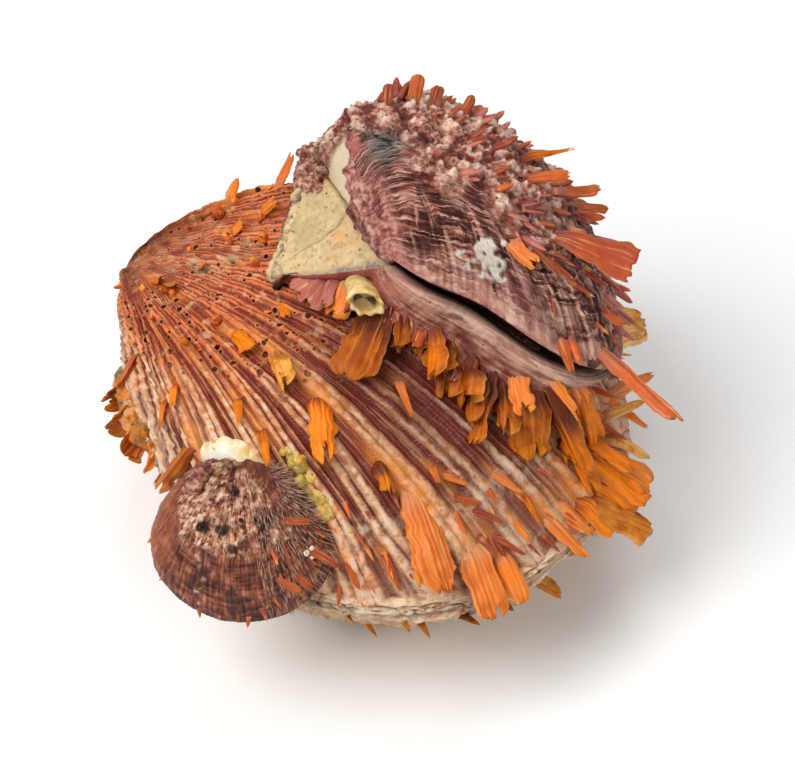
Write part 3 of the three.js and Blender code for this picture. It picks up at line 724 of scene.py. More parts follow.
def row_points(shell, side, rows):
    """Seats, aims, sizes and tones of the plain spines in the rows."""
    seats, aims, sizes, tones = [], [], [], []
    for (first, last), heights, count, lengths, share, lifts, row_veer, row_tone in rows:
        for index in range(count):
            s = first + (index + rng.uniform(0.1, 0.9)) / count * (last - first)
            length = rng.uniform(*lengths)
            lift = math.radians(rng.uniform(*lifts))
            place, growth, out = growth_frame(shell, side, s, rng.uniform(*heights))
            veer = math.radians(side * row_veer + rng.uniform(-SPINE_SWAY, SPINE_SWAY))
            heading = math.cos(veer) * growth + math.sin(veer) * np.cross(out, growth)
            direction = math.cos(lift) * heading + math.sin(lift) * out
            wide = unit(np.cross(out, heading))
            broad = length * share * rng.uniform(0.75, 1.25)
            tip = place + direction * length
            tone = np.clip(row_tone + rng.uniform(-TONE_SWAY, TONE_SWAY), 0, 1)
            if tip[2] < broad:
                continue
            matrix = Matrix(np.stack([wide, np.cross(direction, wide), direction], axis=1).tolist())
            seats.append(place - direction * SPINE_ROOT)
            aims.append(matrix.to_euler())
            sizes.append((broad, broad * rng.uniform(0.4, 0.7), length + SPINE_ROOT))
            tones.append(tone)
    return np.array(seats), np.array(aims), np.array(sizes), np.array(tones)


def feed(tree, socket, value):
    """Links a node's input to another socket, or gives it a plain value."""
    value = getattr(value, "socket", value)
    if isinstance(value, bpy.types.NodeSocket):
        tree.links.new(value, socket)
    else:
        socket.default_value = value


def add_node(tree, kind, settings=None, inputs=None):
    """A node with its settings, and with values or links at its inputs."""
    made = tree.nodes.new(kind)
    for setting, value in (settings or {}).items():
        setattr(made, setting, value)
    for socket, value in (inputs or {}).items():
        feed(tree, made.inputs[socket], value)
    return made


def spine_tree(material):
    """Geometry nodes that grow a bent spine with a rounded tip on every point."""
    tree = bpy.data.node_groups.new("grown_spines", "GeometryNodeTree")
    sockets = {}
    for name, way, kind in (
        ("Geometry", "INPUT", "Geometry"), ("Sides", "INPUT", "Int"), ("Rings", "INPUT", "Int"),
        ("Bend", "INPUT", "Float"), ("Blunt tip", "INPUT", "Float"), ("Geometry", "OUTPUT", "Geometry"),
    ):
        sockets[name] = tree.interface.new_socket(name, in_out=way, socket_type="NodeSocket" + kind)

    def add(kind, inputs=None, **settings):
        return add_node(tree, kind, settings, inputs).outputs

    def math_of(operation, *values, **settings):
        return add("ShaderNodeMath", dict(enumerate(values)), operation=operation, **settings)[0]

    given = add("NodeGroupInput")
    cone = add("GeometryNodeMeshCone", {
        "Radius Bottom": 1, "Depth": 1, "Vertices": given["Sides"], "Side Segments": given["Rings"],
        "Radius Top": given["Blunt tip"],
    })
    x, y, height = add("ShaderNodeSeparateXYZ", {0: add("GeometryNodeInputPosition")[0]})
    bent = math_of("MULTIPLY", math_of("MULTIPLY", height, height), given["Bend"])
    offset = add("ShaderNodeCombineXYZ", {"Y": bent})
    narrow = math_of("SQRT", math_of("MULTIPLY_ADD", height, -TIP_ROUNDING, TIP_ROUNDING, use_clamp=True))
    rounded = add("ShaderNodeCombineXYZ", {
        "X": math_of("MULTIPLY", x, narrow), "Y": math_of("MULTIPLY", y, narrow), "Z": height,
    })
    moved = add("GeometryNodeSetPosition", {
        "Geometry": cone["Mesh"], "Position": rounded[0], "Offset": offset[0],
    })
    kept = add(
        "GeometryNodeStoreNamedAttribute", {"Name": "grow", "Geometry": moved[0], "Value": height},
        data_type="FLOAT", domain="POINT",
    )
    aim = add("GeometryNodeInputNamedAttribute", {"Name": "aim"}, data_type="FLOAT_VECTOR")
    size = add("GeometryNodeInputNamedAttribute", {"Name": "size"}, data_type="FLOAT_VECTOR")
    grown = add("GeometryNodeInstanceOnPoints", {
        "Points": given["Geometry"], "Instance": kept[0], "Scale": size["Attribute"],
        "Rotation": add("FunctionNodeEulerToRotation", {0: aim["Attribute"]})[0],
    })
    real = add("GeometryNodeRealizeInstances", {0: grown[0]})
    painted = add("GeometryNodeSetMaterial", {"Geometry": real[0], "Material": material})
    add("NodeGroupOutput", {0: painted[0]})
    return tree, sockets


def spines_object(name, shell, side, rows, material, sides=7, rings=7, bend=0.35, blunt=0.25):
    """Rows of plain spines, grown by Geometry Nodes and kept as a plain mesh."""
    seats, aims, sizes, tones = row_points(shell, side, rows)
    mesh = bpy.data.meshes.new(name)
    mesh.from_pydata((seats * MM).tolist(), [], [])
    for mark, values in (("aim", aims), ("size", sizes * MM)):
        layer = mesh.attributes.new(mark, "FLOAT_VECTOR", "POINT")
        layer.data.foreach_set("vector", np.ascontiguousarray(values, np.float32).ravel())
    for mark, values in (("tone", tones), ("chance", rng.uniform(0, 1, len(tones)))):
        layer = mesh.attributes.new(mark, "FLOAT", "POINT")
        layer.data.foreach_set("value", np.ascontiguousarray(values, np.float32))
    obj = bpy.data.objects.new(name, mesh)
    bpy.context.scene.collection.objects.link(obj)
    tree, sockets = spine_tree(material)
    modifier = obj.modifiers.new("spines", "NODES")
    modifier.node_group = tree
    for socket, value in (("Sides", sides), ("Rings", rings), ("Bend", bend), ("Blunt tip", blunt)):
        modifier[sockets[socket].identifier] = value
    graph = bpy.context.evaluated_depsgraph_get()
    grown = bpy.data.meshes.new_from_object(obj.evaluated_get(graph))
    obj.modifiers.remove(modifier)
    obj.data = grown
    grown.shade_smooth()
    outward(obj)
    return obj


# Finishes
def rgb(red, green, blue):
    """A colour as a picture shows it, made linear."""

    def linear(value):
        value /= 255
        return value / 12.92 if value <= 0.04045 else ((value + 0.055) / 1.055) ** 2.4

    return (linear(red), linear(green), linear(blue), 1.0)


class Value:
    """A number that varies over a surface. Arithmetic on it adds Math nodes."""

    def __init__(self, finish, socket):
        self.finish = finish
        self.socket = socket

    def math(self, operation, *others):
        return self.finish.math(operation, self, *others)

    def __add__(self, other):
        return self.math("ADD", other)

    __radd__ = __add__

    def __sub__(self, other):
        return self.math("SUBTRACT", other)

    def __rsub__(self, other):
        return self.finish.math("SUBTRACT", other, self)

    def __mul__(self, other):
        return self.math("MULTIPLY", other)

    __rmul__ = __mul__

    def sine(self):
        return self.math("SINE")

    def step(self, low, high):
        """0 under low, 1 over high, and a soft step between."""
        node = self.finish.node(
            "ShaderNodeMapRange", dict(interpolation_type="SMOOTHSTEP"),
            {"Value": self, "From Min": low, "From Max": high},
        )
        return Value(self.finish, node.outputs["Result"])

    def clamp(self):
        node = self.finish.node("ShaderNodeClamp", {}, {"Value": self})
        return Value(self.finish, node.outputs[0])


class Finish:
    """A material made of nodes."""

    def __init__(self, name):
        self.material = bpy.data.materials.new(name)
        self.material.use_nodes = True
        self.tree = self.material.node_tree
        self.shader = self.tree.nodes["Principled BSDF"]
        self.coordinates = self.node("ShaderNodeTexCoord")

    def node(self, kind, settings=None, inputs=None):
        return add_node(self.tree, kind, settings, inputs)

    def math(self, operation, *values):
        made = self.node("ShaderNodeMath", dict(operation=operation), dict(enumerate(values)))
        return Value(self, made.outputs[0])

    def mark(self, name):
        made = self.node("ShaderNodeAttribute", dict(attribute_name=name))
        return Value(self, made.outputs["Fac"])

    def growth(self):
        """u round the margin and v from beak to margin."""
        made = self.node("ShaderNodeUVMap", dict(uv_map="growth"))
        parts = self.node("ShaderNodeSeparateXYZ", {}, {0: made.outputs[0]})
        return Value(self, parts.outputs["X"]), Value(self, parts.outputs["Y"])

    def streaks(self, x, y, z=0.0, detail=4):
        """Noise over the given coordinates, with lumps about one across."""
        where = self.node("ShaderNodeCombineXYZ", {}, {"X": x, "Y": y, "Z": z}).outputs[0]
        return self.noise(1.0, detail, where)

    def noise(self, size, detail=3.0, where=None, shift=0.0):
        """Noise from 0 to 1 with lumps of that many millimetres."""
        place = where if where is not None else self.coordinates.outputs["Object"]
        if shift:
            away = (shift, shift * 0.7, shift * 1.3)
            place = self.node("ShaderNodeVectorMath", dict(operation="ADD"), {0: place, 1: away}).outputs[0]
        scale = 1.0 / (size * MM) if where is None else 1.0 / size
        settled = {"Vector": place, "Scale": scale, "Detail": detail, "Roughness": NOISE_ROUGHNESS}
        made = self.node("ShaderNodeTexNoise", {}, settled)
        return Value(self, made.outputs[0])

    def chances(self, number):
        """Three random values from 0 to 1 that hold for each whole number."""
        made = self.node("ShaderNodeTexWhiteNoise", dict(noise_dimensions="1D"), {"W": number})
        parts = self.node("ShaderNodeSeparateColor", {}, {0: made.outputs["Color"]})
        return [Value(self, socket) for socket in parts.outputs]

    def pores(self, size, radius, share):
        """1 inside round holes about size apart, in that share of the places."""
        made = self.node(
            "ShaderNodeTexVoronoi", {},
            {"Vector": self.coordinates.outputs["Object"], "Scale": 1.0 / (size * MM)},
        )
        pick = Value(self, self.node("ShaderNodeSeparateColor", {}, {0: made.outputs["Color"]}).outputs[0])
        away = Value(self, made.outputs["Distance"])
        return (1 - away.step(radius * 0.75, radius * 1.25)) * (1 - pick.step(share - 0.02, share + 0.02))

    def blend(self, first, second, share):
        """The first colour with that share of the second. A plain colour is red, green and blue up to 255."""
        first, second = (rgb(*each) if isinstance(each, tuple) else each for each in (first, second))
        return self.node("ShaderNodeMix", dict(data_type="RGBA"), {0: share, 6: first, 7: second}).outputs[2]

    def layers(self, colour, *coats):
        """A colour under coats of other colours, each with its share."""
        for coat, share in coats:
            colour = self.blend(colour, coat, share)
        return colour

    def ramp(self, value, stops):
        """A colour from stops, each a position with red, green and blue up to 255."""
        made = self.node("ShaderNodeValToRGB", {}, {0: value})
        band = made.color_ramp
        while len(band.elements) < len(stops):
            band.elements.new(0.5)
        for element, (at, *colour) in zip(band.elements, stops):
            element.position = at
            element.color = rgb(*colour)
        return made.outputs[0]

    def finish(self, colour, roughness, height=None, depth=0.3, **constants):
        """The material, with a bump of that many millimetres and constants for the shader."""
        feed(self.tree, self.shader.inputs["Base Color"], colour)
        feed(self.tree, self.shader.inputs["Roughness"], roughness)
        if height is not None:
            relief = {"Height": height, "Distance": depth * MM, "Strength": 1.0}
            bump = self.node("ShaderNodeBump", {}, relief)
            feed(self.tree, self.shader.inputs["Normal"], bump.outputs[0])
        for socket, value in constants.items():
            self.shader.inputs[socket.replace("_", " ")].default_value = value
        return self.material


def large_upper_finish():
    f = Finish("striped_brick_shell")
    u, v = f.growth()
    turns = f.mark("turns")
    main = f.mark("main")
    part = turns - turns.math("FLOOR")
    warm, pale_pick, deep = f.chances((turns + 0.5).math("FLOOR") + 200.5)
    broad = f.noise(20)
    patch = f.noise(5, shift=0.31)
    small = f.noise(2.2, shift=0.57)
    fine = f.noise(0.8, detail=2)
    crest = (part - 0.5).math("ABSOLUTE") * 2
    bold = v.step(0.14, 0.4)
    pale = main * bold * 0.5 + crest * 0.72 - 0.12 + (1 - bold) * 0.12 + (pale_pick - 0.5) * 0.4
    pale = pale + (patch - 0.5) * 0.6 + (fine - 0.5) * 0.3 + v.step(0.93, 0.99) * 0.25
    # Painted shade: fewer pale stripes under the medium shell, where its shadow falls.
    pale = (pale - v.step(0.35, 0.6) * u.step(0.2, 0.3) * 0.07 - f.mark("under_medium_shade") * 0.24).step(0.2, 0.75)
    age = v + (broad - 0.5) * 0.25
    ridge = f.ramp(age, [
        (0.0, 178, 116, 88), (0.1, 214, 130, 86), (0.28, 222, 122, 72),
        (0.46, 210, 118, 64), (0.64, 218, 152, 98), (0.84, 222, 174, 130),
    ])
    ridge = f.layers(
        ridge,
        ((228, 130, 66), warm.step(0.55, 0.9) * patch.step(0.46, 0.62) * 0.7),
        ((232, 206, 178), main * small.step(0.44, 0.62) * v.step(0.4, 0.66) * 0.8),
        ((150, 78, 66), (1 - small.step(0.34, 0.5)) * 0.55),
    )
    dark = f.ramp(age, [
        (0.0, 116, 66, 54), (0.14, 148, 68, 40), (0.34, 120, 38, 22),
        (0.6, 98, 26, 20), (0.84, 90, 34, 28), (0.96, 128, 80, 64),
    ])
    beads = (v * 900.0 + patch * 4).sine() * 0.5 + 0.5
    lines = (part * 18.85 + patch * 3).sine() * 0.5 + 0.5
    dark = f.blend(dark, (184, 98, 68), lines.step(0.4, 1.0) * (0.6 + 0.4 * beads) * (0.26 + 0.44 * deep))
    hair = f.streaks(u * 190.0, v * 5.0, detail=3)
    dark = f.blend(dark, (206, 152, 118), hair.step(0.54, 0.66) * v.step(0.35, 0.6) * 0.6)
    colour = f.blend(dark, ridge, pale)
    bald = f.ramp(small * 0.6 + patch * 0.4, [
        (0.36, 128, 72, 54), (0.47, 184, 104, 66), (0.56, 206, 126, 82), (0.66, 222, 160, 116),
    ])
    colour = f.blend(bald, colour, (v + (patch - 0.5) * 0.1).step(0.03, 0.15))
    mottle = f.noise(3.2, shift=0.9)
    young = 1 - v.step(0.4, 0.62)
    colour = f.layers(
        colour,
        ((112, 60, 62), mottle.step(0.56, 0.66) * young * 0.5),
        ((232, 188, 146), (1 - mottle.step(0.34, 0.42)) * young * 0.5),
        ((122, 78, 76), f.mark("grey") * patch.step(0.48, 0.66) * 0.5),
        ((196, 150, 112), f.mark("worn") * small.step(0.45, 0.6) * 0.6),
        ((240, 146, 62), f.mark("stain") * (0.35 + 0.6 * patch)),
        # painted shade under the medium shell: a dark red-brown wash
        ((88, 34, 24), f.mark("under_medium_shade") * (0.5 + 0.5 * patch)),
        ((214, 196, 172), f.mark("band") * small.step(0.36, 0.6) * 0.6),
    )
    holes = (1 - v.step(0.44, 0.66)) * v.step(0.05, 0.1)
    rims = (f.pores(3.6, 0.36, 0.42) + f.pores(2.2, 0.32, 0.5)).clamp() * holes
    colour = f.blend(colour, (214, 132, 84), rims * 0.5)
    pores = (f.pores(3.6, 0.2, 0.42) + f.pores(2.2, 0.18, 0.5)).clamp() * holes
    colour = f.layers(
        colour,
        ((34, 14, 8), pores),
        ((222, 190, 142), f.mark("pit_edge") * 0.8),
        ((58, 38, 20), f.mark("pit")),
        ((228, 216, 200), f.mark("inside")),
    )
    height = beads * lines * (1 - pale) * 0.22 + fine * 0.5 + small * 0.9 + crest * 0.5 - pores * 3.0
    return f.finish(colour, 0.42 + (fine - 0.5) * 0.3, height, 0.45, Specular_IOR_Level=SHINE)


def large_lower_finish():
    f = Finish("flaky_cream_shell")
    _, v = f.growth()
    broad = f.noise(16)
    patch = f.noise(4.5)
    fine = f.noise(0.8, detail=2)
    colour = f.ramp(broad * 0.6 + patch * 0.4, [
        (0.36, 122, 84, 60), (0.44, 182, 142, 102), (0.52, 208, 178, 140),
        (0.58, 212, 160, 104), (0.66, 206, 122, 54),
    ])
    colour = f.layers(
        colour,
        ((104, 64, 42), f.mark("ledge") * 0.75),
        ((206, 192, 172), v.step(0.9, 0.97) * patch.step(0.3, 0.55) * 0.8),
        ((186, 176, 160), f.mark("scar") * 0.8),
        ((92, 62, 46), (1 - fine.step(0.3, 0.42)) * 0.5),
        ((228, 216, 200), f.mark("inside")),
    )
    return f.finish(colour, 0.62 + (fine - 0.5) * 0.2, patch * 0.9 + fine * 0.6, 0.45)


def medium_upper_finish():
    f = Finish("purple_brown_shell")
    u, v = f.growth()
    turns = f.mark("turns")
    crust = f.mark("crust")
    nub = f.mark("nub")
    part = turns - turns.math("FLOOR")
    crest = (part - 0.5).math("ABSOLUTE") * 2
    dark_pick, pale_pick, _ = f.chances((turns + 0.5).math("FLOOR"))
    broad = f.noise(14)
    patch = f.noise(4.5)
    spots = f.noise(1.6, shift=0.2)
    fine = f.noise(0.6, detail=2)
    rings = f.streaks(u * 14.0, v * 70.0 + patch * 6.0, detail=5)
    colour = f.ramp(rings * 0.6 + patch * 0.25 + broad * 0.15, [
        (0.44, 48, 23, 22), (0.485, 92, 46, 38), (0.525, 142, 84, 68), (0.565, 214, 166, 146),
    ])
    colour = f.blend(colour, (132, 58, 48), patch.step(0.52, 0.64) * 0.5)
    outer = v.step(0.62, 0.84)
    stripe = (crest + (dark_pick - 0.5) * 0.7 + (patch - 0.5) * 0.5).step(0.35, 0.75)
    ribs = f.blend((56, 26, 24), f.ramp(rings, [(0.42, 142, 84, 70), (0.56, 204, 164, 146)]), stripe)
    ribbed = outer * u.step(0.1, 0.19) * patch.step(0.3, 0.55)
    colour = f.blend(colour, ribs, ribbed * (0.25 + 0.6 * pale_pick))
    streak = f.streaks(u * 90.0, v * 4.0, detail=4)
    shade = (1 - streak.step(0.4, 0.5)) * v.step(0.4, 0.6) * u.step(0.08, 0.16)
    colour = f.blend(colour, (48, 22, 20), shade * 0.75)
    colour = f.blend(colour, (206, 158, 138), streak.step(0.55, 0.64) * v.step(0.45, 0.7) * 0.55)
    rose = f.ramp(rings * 0.6 + streak * 0.4, [
        (0.4, 132, 74, 64), (0.5, 186, 134, 118), (0.6, 222, 188, 172),
    ])
    front_edge = (v + (patch - 0.5) * 0.2).step(0.8, 0.95) * (1 - u.step(0.15, 0.27))
    colour = f.blend(colour, rose, front_edge * 0.85)
    colour = f.blend(colour, (196, 142, 126), v.step(0.93, 0.99) * patch.step(0.35, 0.55) * 0.6)
    bare = f.ramp(spots * 0.4 + patch * 0.6, [
        (0.41, 112, 54, 44), (0.47, 164, 102, 84), (0.53, 212, 160, 138), (0.59, 236, 204, 182),
    ])
    colour = f.layers(
        colour,
        (bare, crust * (0.5 + 0.5 * nub)),
        ((234, 204, 184), crust * nub.step(0.5, 0.95) * patch.step(0.42, 0.56) * 0.8),
        ((104, 50, 44), crust * (1 - nub.step(0.0, 0.3)) * spots.step(0.4, 0.56) * 0.7),
        ((74, 28, 24), crust * f.pores(1.8, 0.22, 0.45) * 0.85),
        ((158, 62, 40), crust * f.pores(3.0, 0.26, 0.5) * 0.75),
        (f.ramp(rings, [(0.42, 34, 32, 34), (0.56, 132, 122, 116)]), f.mark("dark")),
        ((190, 108, 104), f.mark("pink") * patch.step(0.38, 0.56) * 0.75),
    )
    face = f.ramp(patch * 0.4 + spots * 0.6, [
        (0.4, 96, 54, 48), (0.49, 166, 114, 98), (0.6, 216, 180, 154),
    ])
    colour = f.blend(colour, face, f.mark("hinge"))
    lip = f.ramp(spots * 0.6 + patch * 0.4, [
        (0.4, 110, 54, 50), (0.49, 170, 102, 92), (0.58, 214, 160, 144),
    ])
    colour = f.blend(colour, lip, f.mark("lip") * 0.9)
    cream = f.ramp(broad * 0.5 + fine * 0.5, [(0.4, 184, 158, 120), (0.55, 220, 204, 174)])
    colour = f.layers(
        colour,
        (cream, f.mark("ligament")),
        ((218, 206, 190), f.mark("lace")),
        ((28, 16, 16), f.mark("crack")),
        ((64, 42, 38), f.mark("inside")),
    )
    plain = 1 - f.mark("ligament")
    relief = plain * (crust * spots * 1.4 + rings * 1.1 + outer * crest * 0.6) + fine * 0.35
    return f.finish(colour, 0.46 + (patch - 0.5) * 0.35, relief, 0.6, Specular_IOR_Level=SHINE)


def medium_lower_finish():
    f = Finish("mauve_band_shell")
    u, v = f.growth()
    hinge = f.mark("hinge")
    broad = f.noise(10)
    patch = f.noise(3.2)
    spots = f.noise(1.4, shift=0.4)
    fine = f.noise(0.6, detail=2)
    rings = f.streaks(u * 24.0, v * 90.0, detail=4)
    band = f.ramp(rings * 0.45 + broad * 0.25 + patch * 0.3, [
        (0.4, 92, 46, 36), (0.47, 130, 78, 62), (0.54, 166, 118, 98), (0.62, 200, 162, 142),
    ])
    band = f.layers(
        band,
        ((164, 92, 78), broad.step(0.48, 0.62) * 0.6),
        ((204, 170, 150), v.step(0.945, 0.995) * (0.2 + 0.5 * rings.step(0.4, 0.58))),
        ((134, 56, 48), (1 - (v + (patch - 0.5) * 0.08).step(0.87, 0.95)) * 0.85),
        ((74, 44, 46), f.pores(2.6, 0.1, 0.4) * 0.8),
    )
    streak = f.streaks(u * 90.0, v * 5.0, detail=4)
    rear = f.ramp(streak * 0.5 + rings * 0.3 + patch * 0.2, [
        (0.41, 52, 25, 23), (0.48, 108, 56, 46), (0.54, 158, 98, 80), (0.61, 206, 160, 138),
    ])
    band = f.blend(band, rear, f.mark("rear"))
    # Painted shade: the recess under the band is coloured near black to dark red-brown, where the band's
    # shadow falls.
    under = f.ramp(patch, [(0.35, 36, 18, 16), (0.55, 84, 40, 32), (0.7, 140, 72, 46)])
    colour = f.blend(band, under, f.mark("recess"))
    holes = f.pores(1.7, 0.12, 0.45)
    cream = f.ramp(patch * 0.45 + broad * 0.55, [
        (0.37, 188, 162, 116), (0.46, 200, 174, 126), (0.55, 216, 190, 144), (0.64, 218, 172, 116),
    ])
    cream = f.layers(
        cream,
        ((226, 160, 96), broad.step(0.55, 0.68) * 0.5),
        ((74, 56, 44), holes),
        ((116, 100, 110), f.mark("violet") * spots.step(0.3, 0.6) * 0.85),
        ((112, 90, 66), f.mark("groove") * spots.step(0.35, 0.55) * 0.8),
        ((146, 126, 90), (1 - spots.step(0.36, 0.47)) * 0.5),
    )
    colour = f.blend(colour, cream, hinge)
    colour = f.blend(colour, (70, 48, 44), f.mark("inside"))
    height = rings * 0.5 + fine * 0.4 + patch * 0.8 + spots * 0.5 - holes * hinge * 2.0
    return f.finish(colour, 0.44 + (patch - 0.5) * 0.25, height, 0.5, Specular_IOR_Level=SHINE)


def small_upper_finish():
    f = Finish("brown_bristly_shell")
    u, v = f.growth()
    crust = f.mark("crust")
    nub = f.mark("nub")
    patch = f.noise(2.6)
    broad = f.noise(7)
    spots = f.noise(1.0, shift=0.4)
    fine = f.noise(0.5, detail=2)
    streak = f.streaks(u * 120.0, v * 6.0, detail=4)
    rings = f.streaks(u * 10.0, v * 46.0 + patch * 2.0, detail=4)
    colour = f.ramp(streak * 0.4 + rings * 0.3 + patch * 0.3, [
        (0.4, 42, 20, 17), (0.47, 94, 48, 36), (0.54, 140, 78, 56), (0.62, 184, 124, 94),
    ])
    colour = f.blend(colour, (46, 28, 28), broad.step(0.52, 0.64) * v.step(0.5, 0.7) * 0.65)
    band = f.ramp(streak * 0.5 + rings * 0.2 + patch * 0.3, [(0.41, 118, 58, 38), (0.58, 182, 106, 72)])
    colour = f.blend(colour, band, f.mark("smooth_band") * 0.9)
    fibre = f.ramp(streak * 0.6 + spots * 0.4 + nub * 0.16, [
        (0.41, 98, 44, 36), (0.49, 172, 108, 82), (0.57, 220, 166, 134), (0.66, 242, 206, 178),
    ])
    colour = f.layers(
        colour,
        (fibre, crust * patch.step(0.3, 0.46)),
        ((90, 36, 34), crust * (1 - spots.step(0.36, 0.46)) * 0.75),
        ((26, 18, 18), f.mark("spot") * 0.9),
        ((128, 84, 84), f.mark("hinge")),
        ((96, 70, 64), f.mark("inside")),
    )
    height = streak * 0.9 + rings * 0.8 + fine * 0.5 + crust * (spots + nub)
    return f.finish(colour, 0.5 + (patch - 0.5) * 0.3, height, 0.55, Specular_IOR_Level=SHINE)


def small_lower_finish():
    f = Finish("cream_hinge_shell")
    patch = f.noise(3)
    broad = f.noise(6)
    fine = f.noise(0.6, detail=2)
    colour = f.ramp(patch, [(0.36, 92, 58, 54), (0.5, 130, 92, 84), (0.62, 176, 140, 120)])
    cream = f.ramp(broad * 0.7 + patch * 0.3, [
        (0.4, 206, 186, 138), (0.5, 226, 214, 186), (0.6, 222, 190, 116),
    ])
    colour = f.blend(colour, cream, f.mark("hinge"))
    colour = f.blend(colour, (96, 70, 64), f.mark("inside"))
    return f.finish(colour, 0.5, patch + fine * 0.4, 0.3)


def leaf_finish():
    f = Finish("orange_leaf")
    grow = f.mark("grow")
    across = f.mark("across")
    tone = f.mark("tone")
    chance = f.mark("chance")
    broad = f.noise(4.5)
    fine = f.noise(0.7, detail=2)
    lines = f.streaks(across * 4.5 + chance * 40.0, grow * 1.3, chance * 9.0, 5)
    hairs = f.streaks(across * 13.0 + chance * 40.0, grow * 2.0, chance * 5.0, 2)
    hue = (tone + (broad - 0.5) * 0.22 + (chance - 0.5) * 0.08).clamp()
    # The dark amber near tone 0.7 is partly the leaves' own colour and partly painted shade for the leaves
    # under the medium shell's band.
    colour = f.ramp(hue, [
        (0.0, 186, 110, 96), (0.13, 140, 60, 42), (0.25, 172, 74, 40), (0.36, 214, 102, 42),
        (0.46, 238, 130, 54), (0.6, 250, 132, 4), (0.7, 150, 64, 0), (0.78, 194, 102, 8),
        (0.9, 236, 160, 66), (1.0, 246, 204, 140),
    ])
    # Each leaf's root: pale pink for pink tones and reddish brown for orange tones, the leaves' own redder
    # bases. For the amber tones, which most leaves under the medium shell's band take, the root is near-black
    # brown and reaches further up the leaf; this is painted shade.
    root = f.blend((142, 74, 62), (206, 140, 96), tone.step(0.28, 0.45))
    root = f.blend(root, (140, 58, 34), tone.step(0.48, 0.56) * (1 - tone.step(0.8, 0.88)))
    amber_shade = tone.step(0.62, 0.67) * (1 - tone.step(0.73, 0.76))
    root = f.blend(root, (82, 32, 18), amber_shade)
    colour = f.blend(root, colour, (grow + (lines - 0.5) * 0.5 - amber_shade * 0.28).step(0.08, 0.42))
    colour = f.layers(
        colour,
        ((132, 58, 10), (1 - broad.step(0.36, 0.5)) * tone.step(0.62, 0.68) * 0.45),
        ((214, 128, 16), grow.step(0.75, 1.0) * (0.15 + lines * 0.35) * tone.step(0.3, 0.5)),
        ((246, 170, 100), lines.step(0.54, 0.66) * (1 - tone.step(0.5, 0.58)) * 0.55),
        ((240, 146, 36), lines.step(0.56, 0.68) * tone.step(0.5, 0.58) * 0.35),
        ((150, 64, 14), (1 - lines.step(0.34, 0.46)) * 0.45),
        ((150, 64, 14), (1 - hairs.step(0.36, 0.46)) * 0.2),
        ((240, 172, 92), across.math("ABSOLUTE").step(0.9, 1.0) * grow.step(0.3, 0.7) * 0.3),
    )
    return f.finish(
        colour, 0.4 + (fine - 0.5) * 0.25, lines * 0.9 + hairs * 0.35 + fine * 0.2, 0.45,
        Specular_IOR_Level=LEAF_SHINE,
        Subsurface_Weight=0.08, Subsurface_Radius=(0.003, 0.001, 0.0003), Subsurface_Scale=1.0,
    )


def bristle_finish():
    f = Finish("brown_bristle")
    grow = f.mark("grow")
    tone = f.mark("tone")
    colour = f.blend((92, 56, 44), (214, 172, 142), grow.step(0.2, 1.0) * (0.3 + tone * 0.7))
    return f.finish(colour, 0.55)


def sponge_finish():
    f = Finish("olive_sponge")
    patch = f.noise(2.4)
    fine = f.noise(0.6, detail=2)
    colour = f.ramp(patch * 0.6 + f.mark("chance") * 0.4, [
        (0.26, 150, 122, 44), (0.45, 190, 154, 62), (0.6, 214, 178, 96), (0.78, 216, 146, 46),
    ])
    colour = f.blend(colour, (84, 66, 30), f.pores(1.5, 0.16, 0.5))
    return f.finish(
        colour, 0.32, patch + fine * 0.6, 0.5,
        Subsurface_Weight=0.25, Subsurface_Radius=(0.003, 0.0024, 0.001), Subsurface_Scale=1.0,
    )


def cement_finish():
    f = Finish("ochre_crust")
    broad = f.noise(5)
    patch = f.noise(2.0)
    fine = f.noise(0.6, detail=2)
    chance = f.mark("chance")
    colour = f.ramp(broad * 0.5 + patch * 0.3 + chance * 0.2, [
        (0.34, 96, 88, 66), (0.42, 150, 122, 84), (0.5, 196, 116, 40), (0.57, 226, 140, 48),
        (0.64, 206, 170, 122), (0.72, 214, 150, 84),
    ])
    colour = f.blend(colour, (88, 54, 28), (1 - patch.step(0.34, 0.44)) * 0.7)
    return f.finish(colour, 0.46, patch * 1.2 + fine * 0.5, 0.5, Specular_IOR_Level=SHINE)


def nub_finish():
    f = Finish("orange_stub")
    patch = f.noise(1.8)
    fine = f.noise(0.5, detail=2)
    colour = f.ramp(patch * 0.7 + f.mark("chance") * 0.3, [
        (0.3, 128, 58, 26), (0.45, 196, 92, 34), (0.58, 232, 128, 38), (0.72, 238, 158, 78),
    ])
    colour = f.blend(colour, (60, 26, 12), f.pores(1.4, 0.2, 0.35))
    return f.finish(colour, 0.42, patch + fine * 0.5, 0.4, Specular_IOR_Level=SHINE)


def mottled_finish(name, large, small, share, stops, roughness=0.5, bump=0.6, depth=0.4, holes=None):
    """Two sizes of mottling in the given share, with round holes where they are asked for."""
    f = Finish(name)
    patch = f.noise(large)
    spots = f.noise(small, shift=0.3)
    colour = f.ramp(patch * share + spots * (1 - share), stops)
    if holes is not None:
        colour = f.blend(colour, (74, 56, 44), f.pores(*holes))
    return f.finish(colour, roughness, patch + spots * bump, depth, Specular_IOR_Level=SHINE)


def crust_finish():
    stops = [(0.41, 86, 44, 40), (0.49, 142, 92, 78), (0.56, 184, 136, 116), (0.66, 214, 180, 152)]
    return mottled_finish("pink_brown_crust", 2.6, 1.1, 0.5, stops, bump=0.8, depth=0.55)


def rim_finish():
    stops = [(0.4, 132, 112, 96), (0.48, 190, 164, 122), (0.56, 216, 192, 146), (0.66, 222, 176, 118)]
    return mottled_finish("grey_cream_rim", 3, 1.2, 0.6, stops, roughness=0.46, holes=(1.7, 0.14, 0.4))


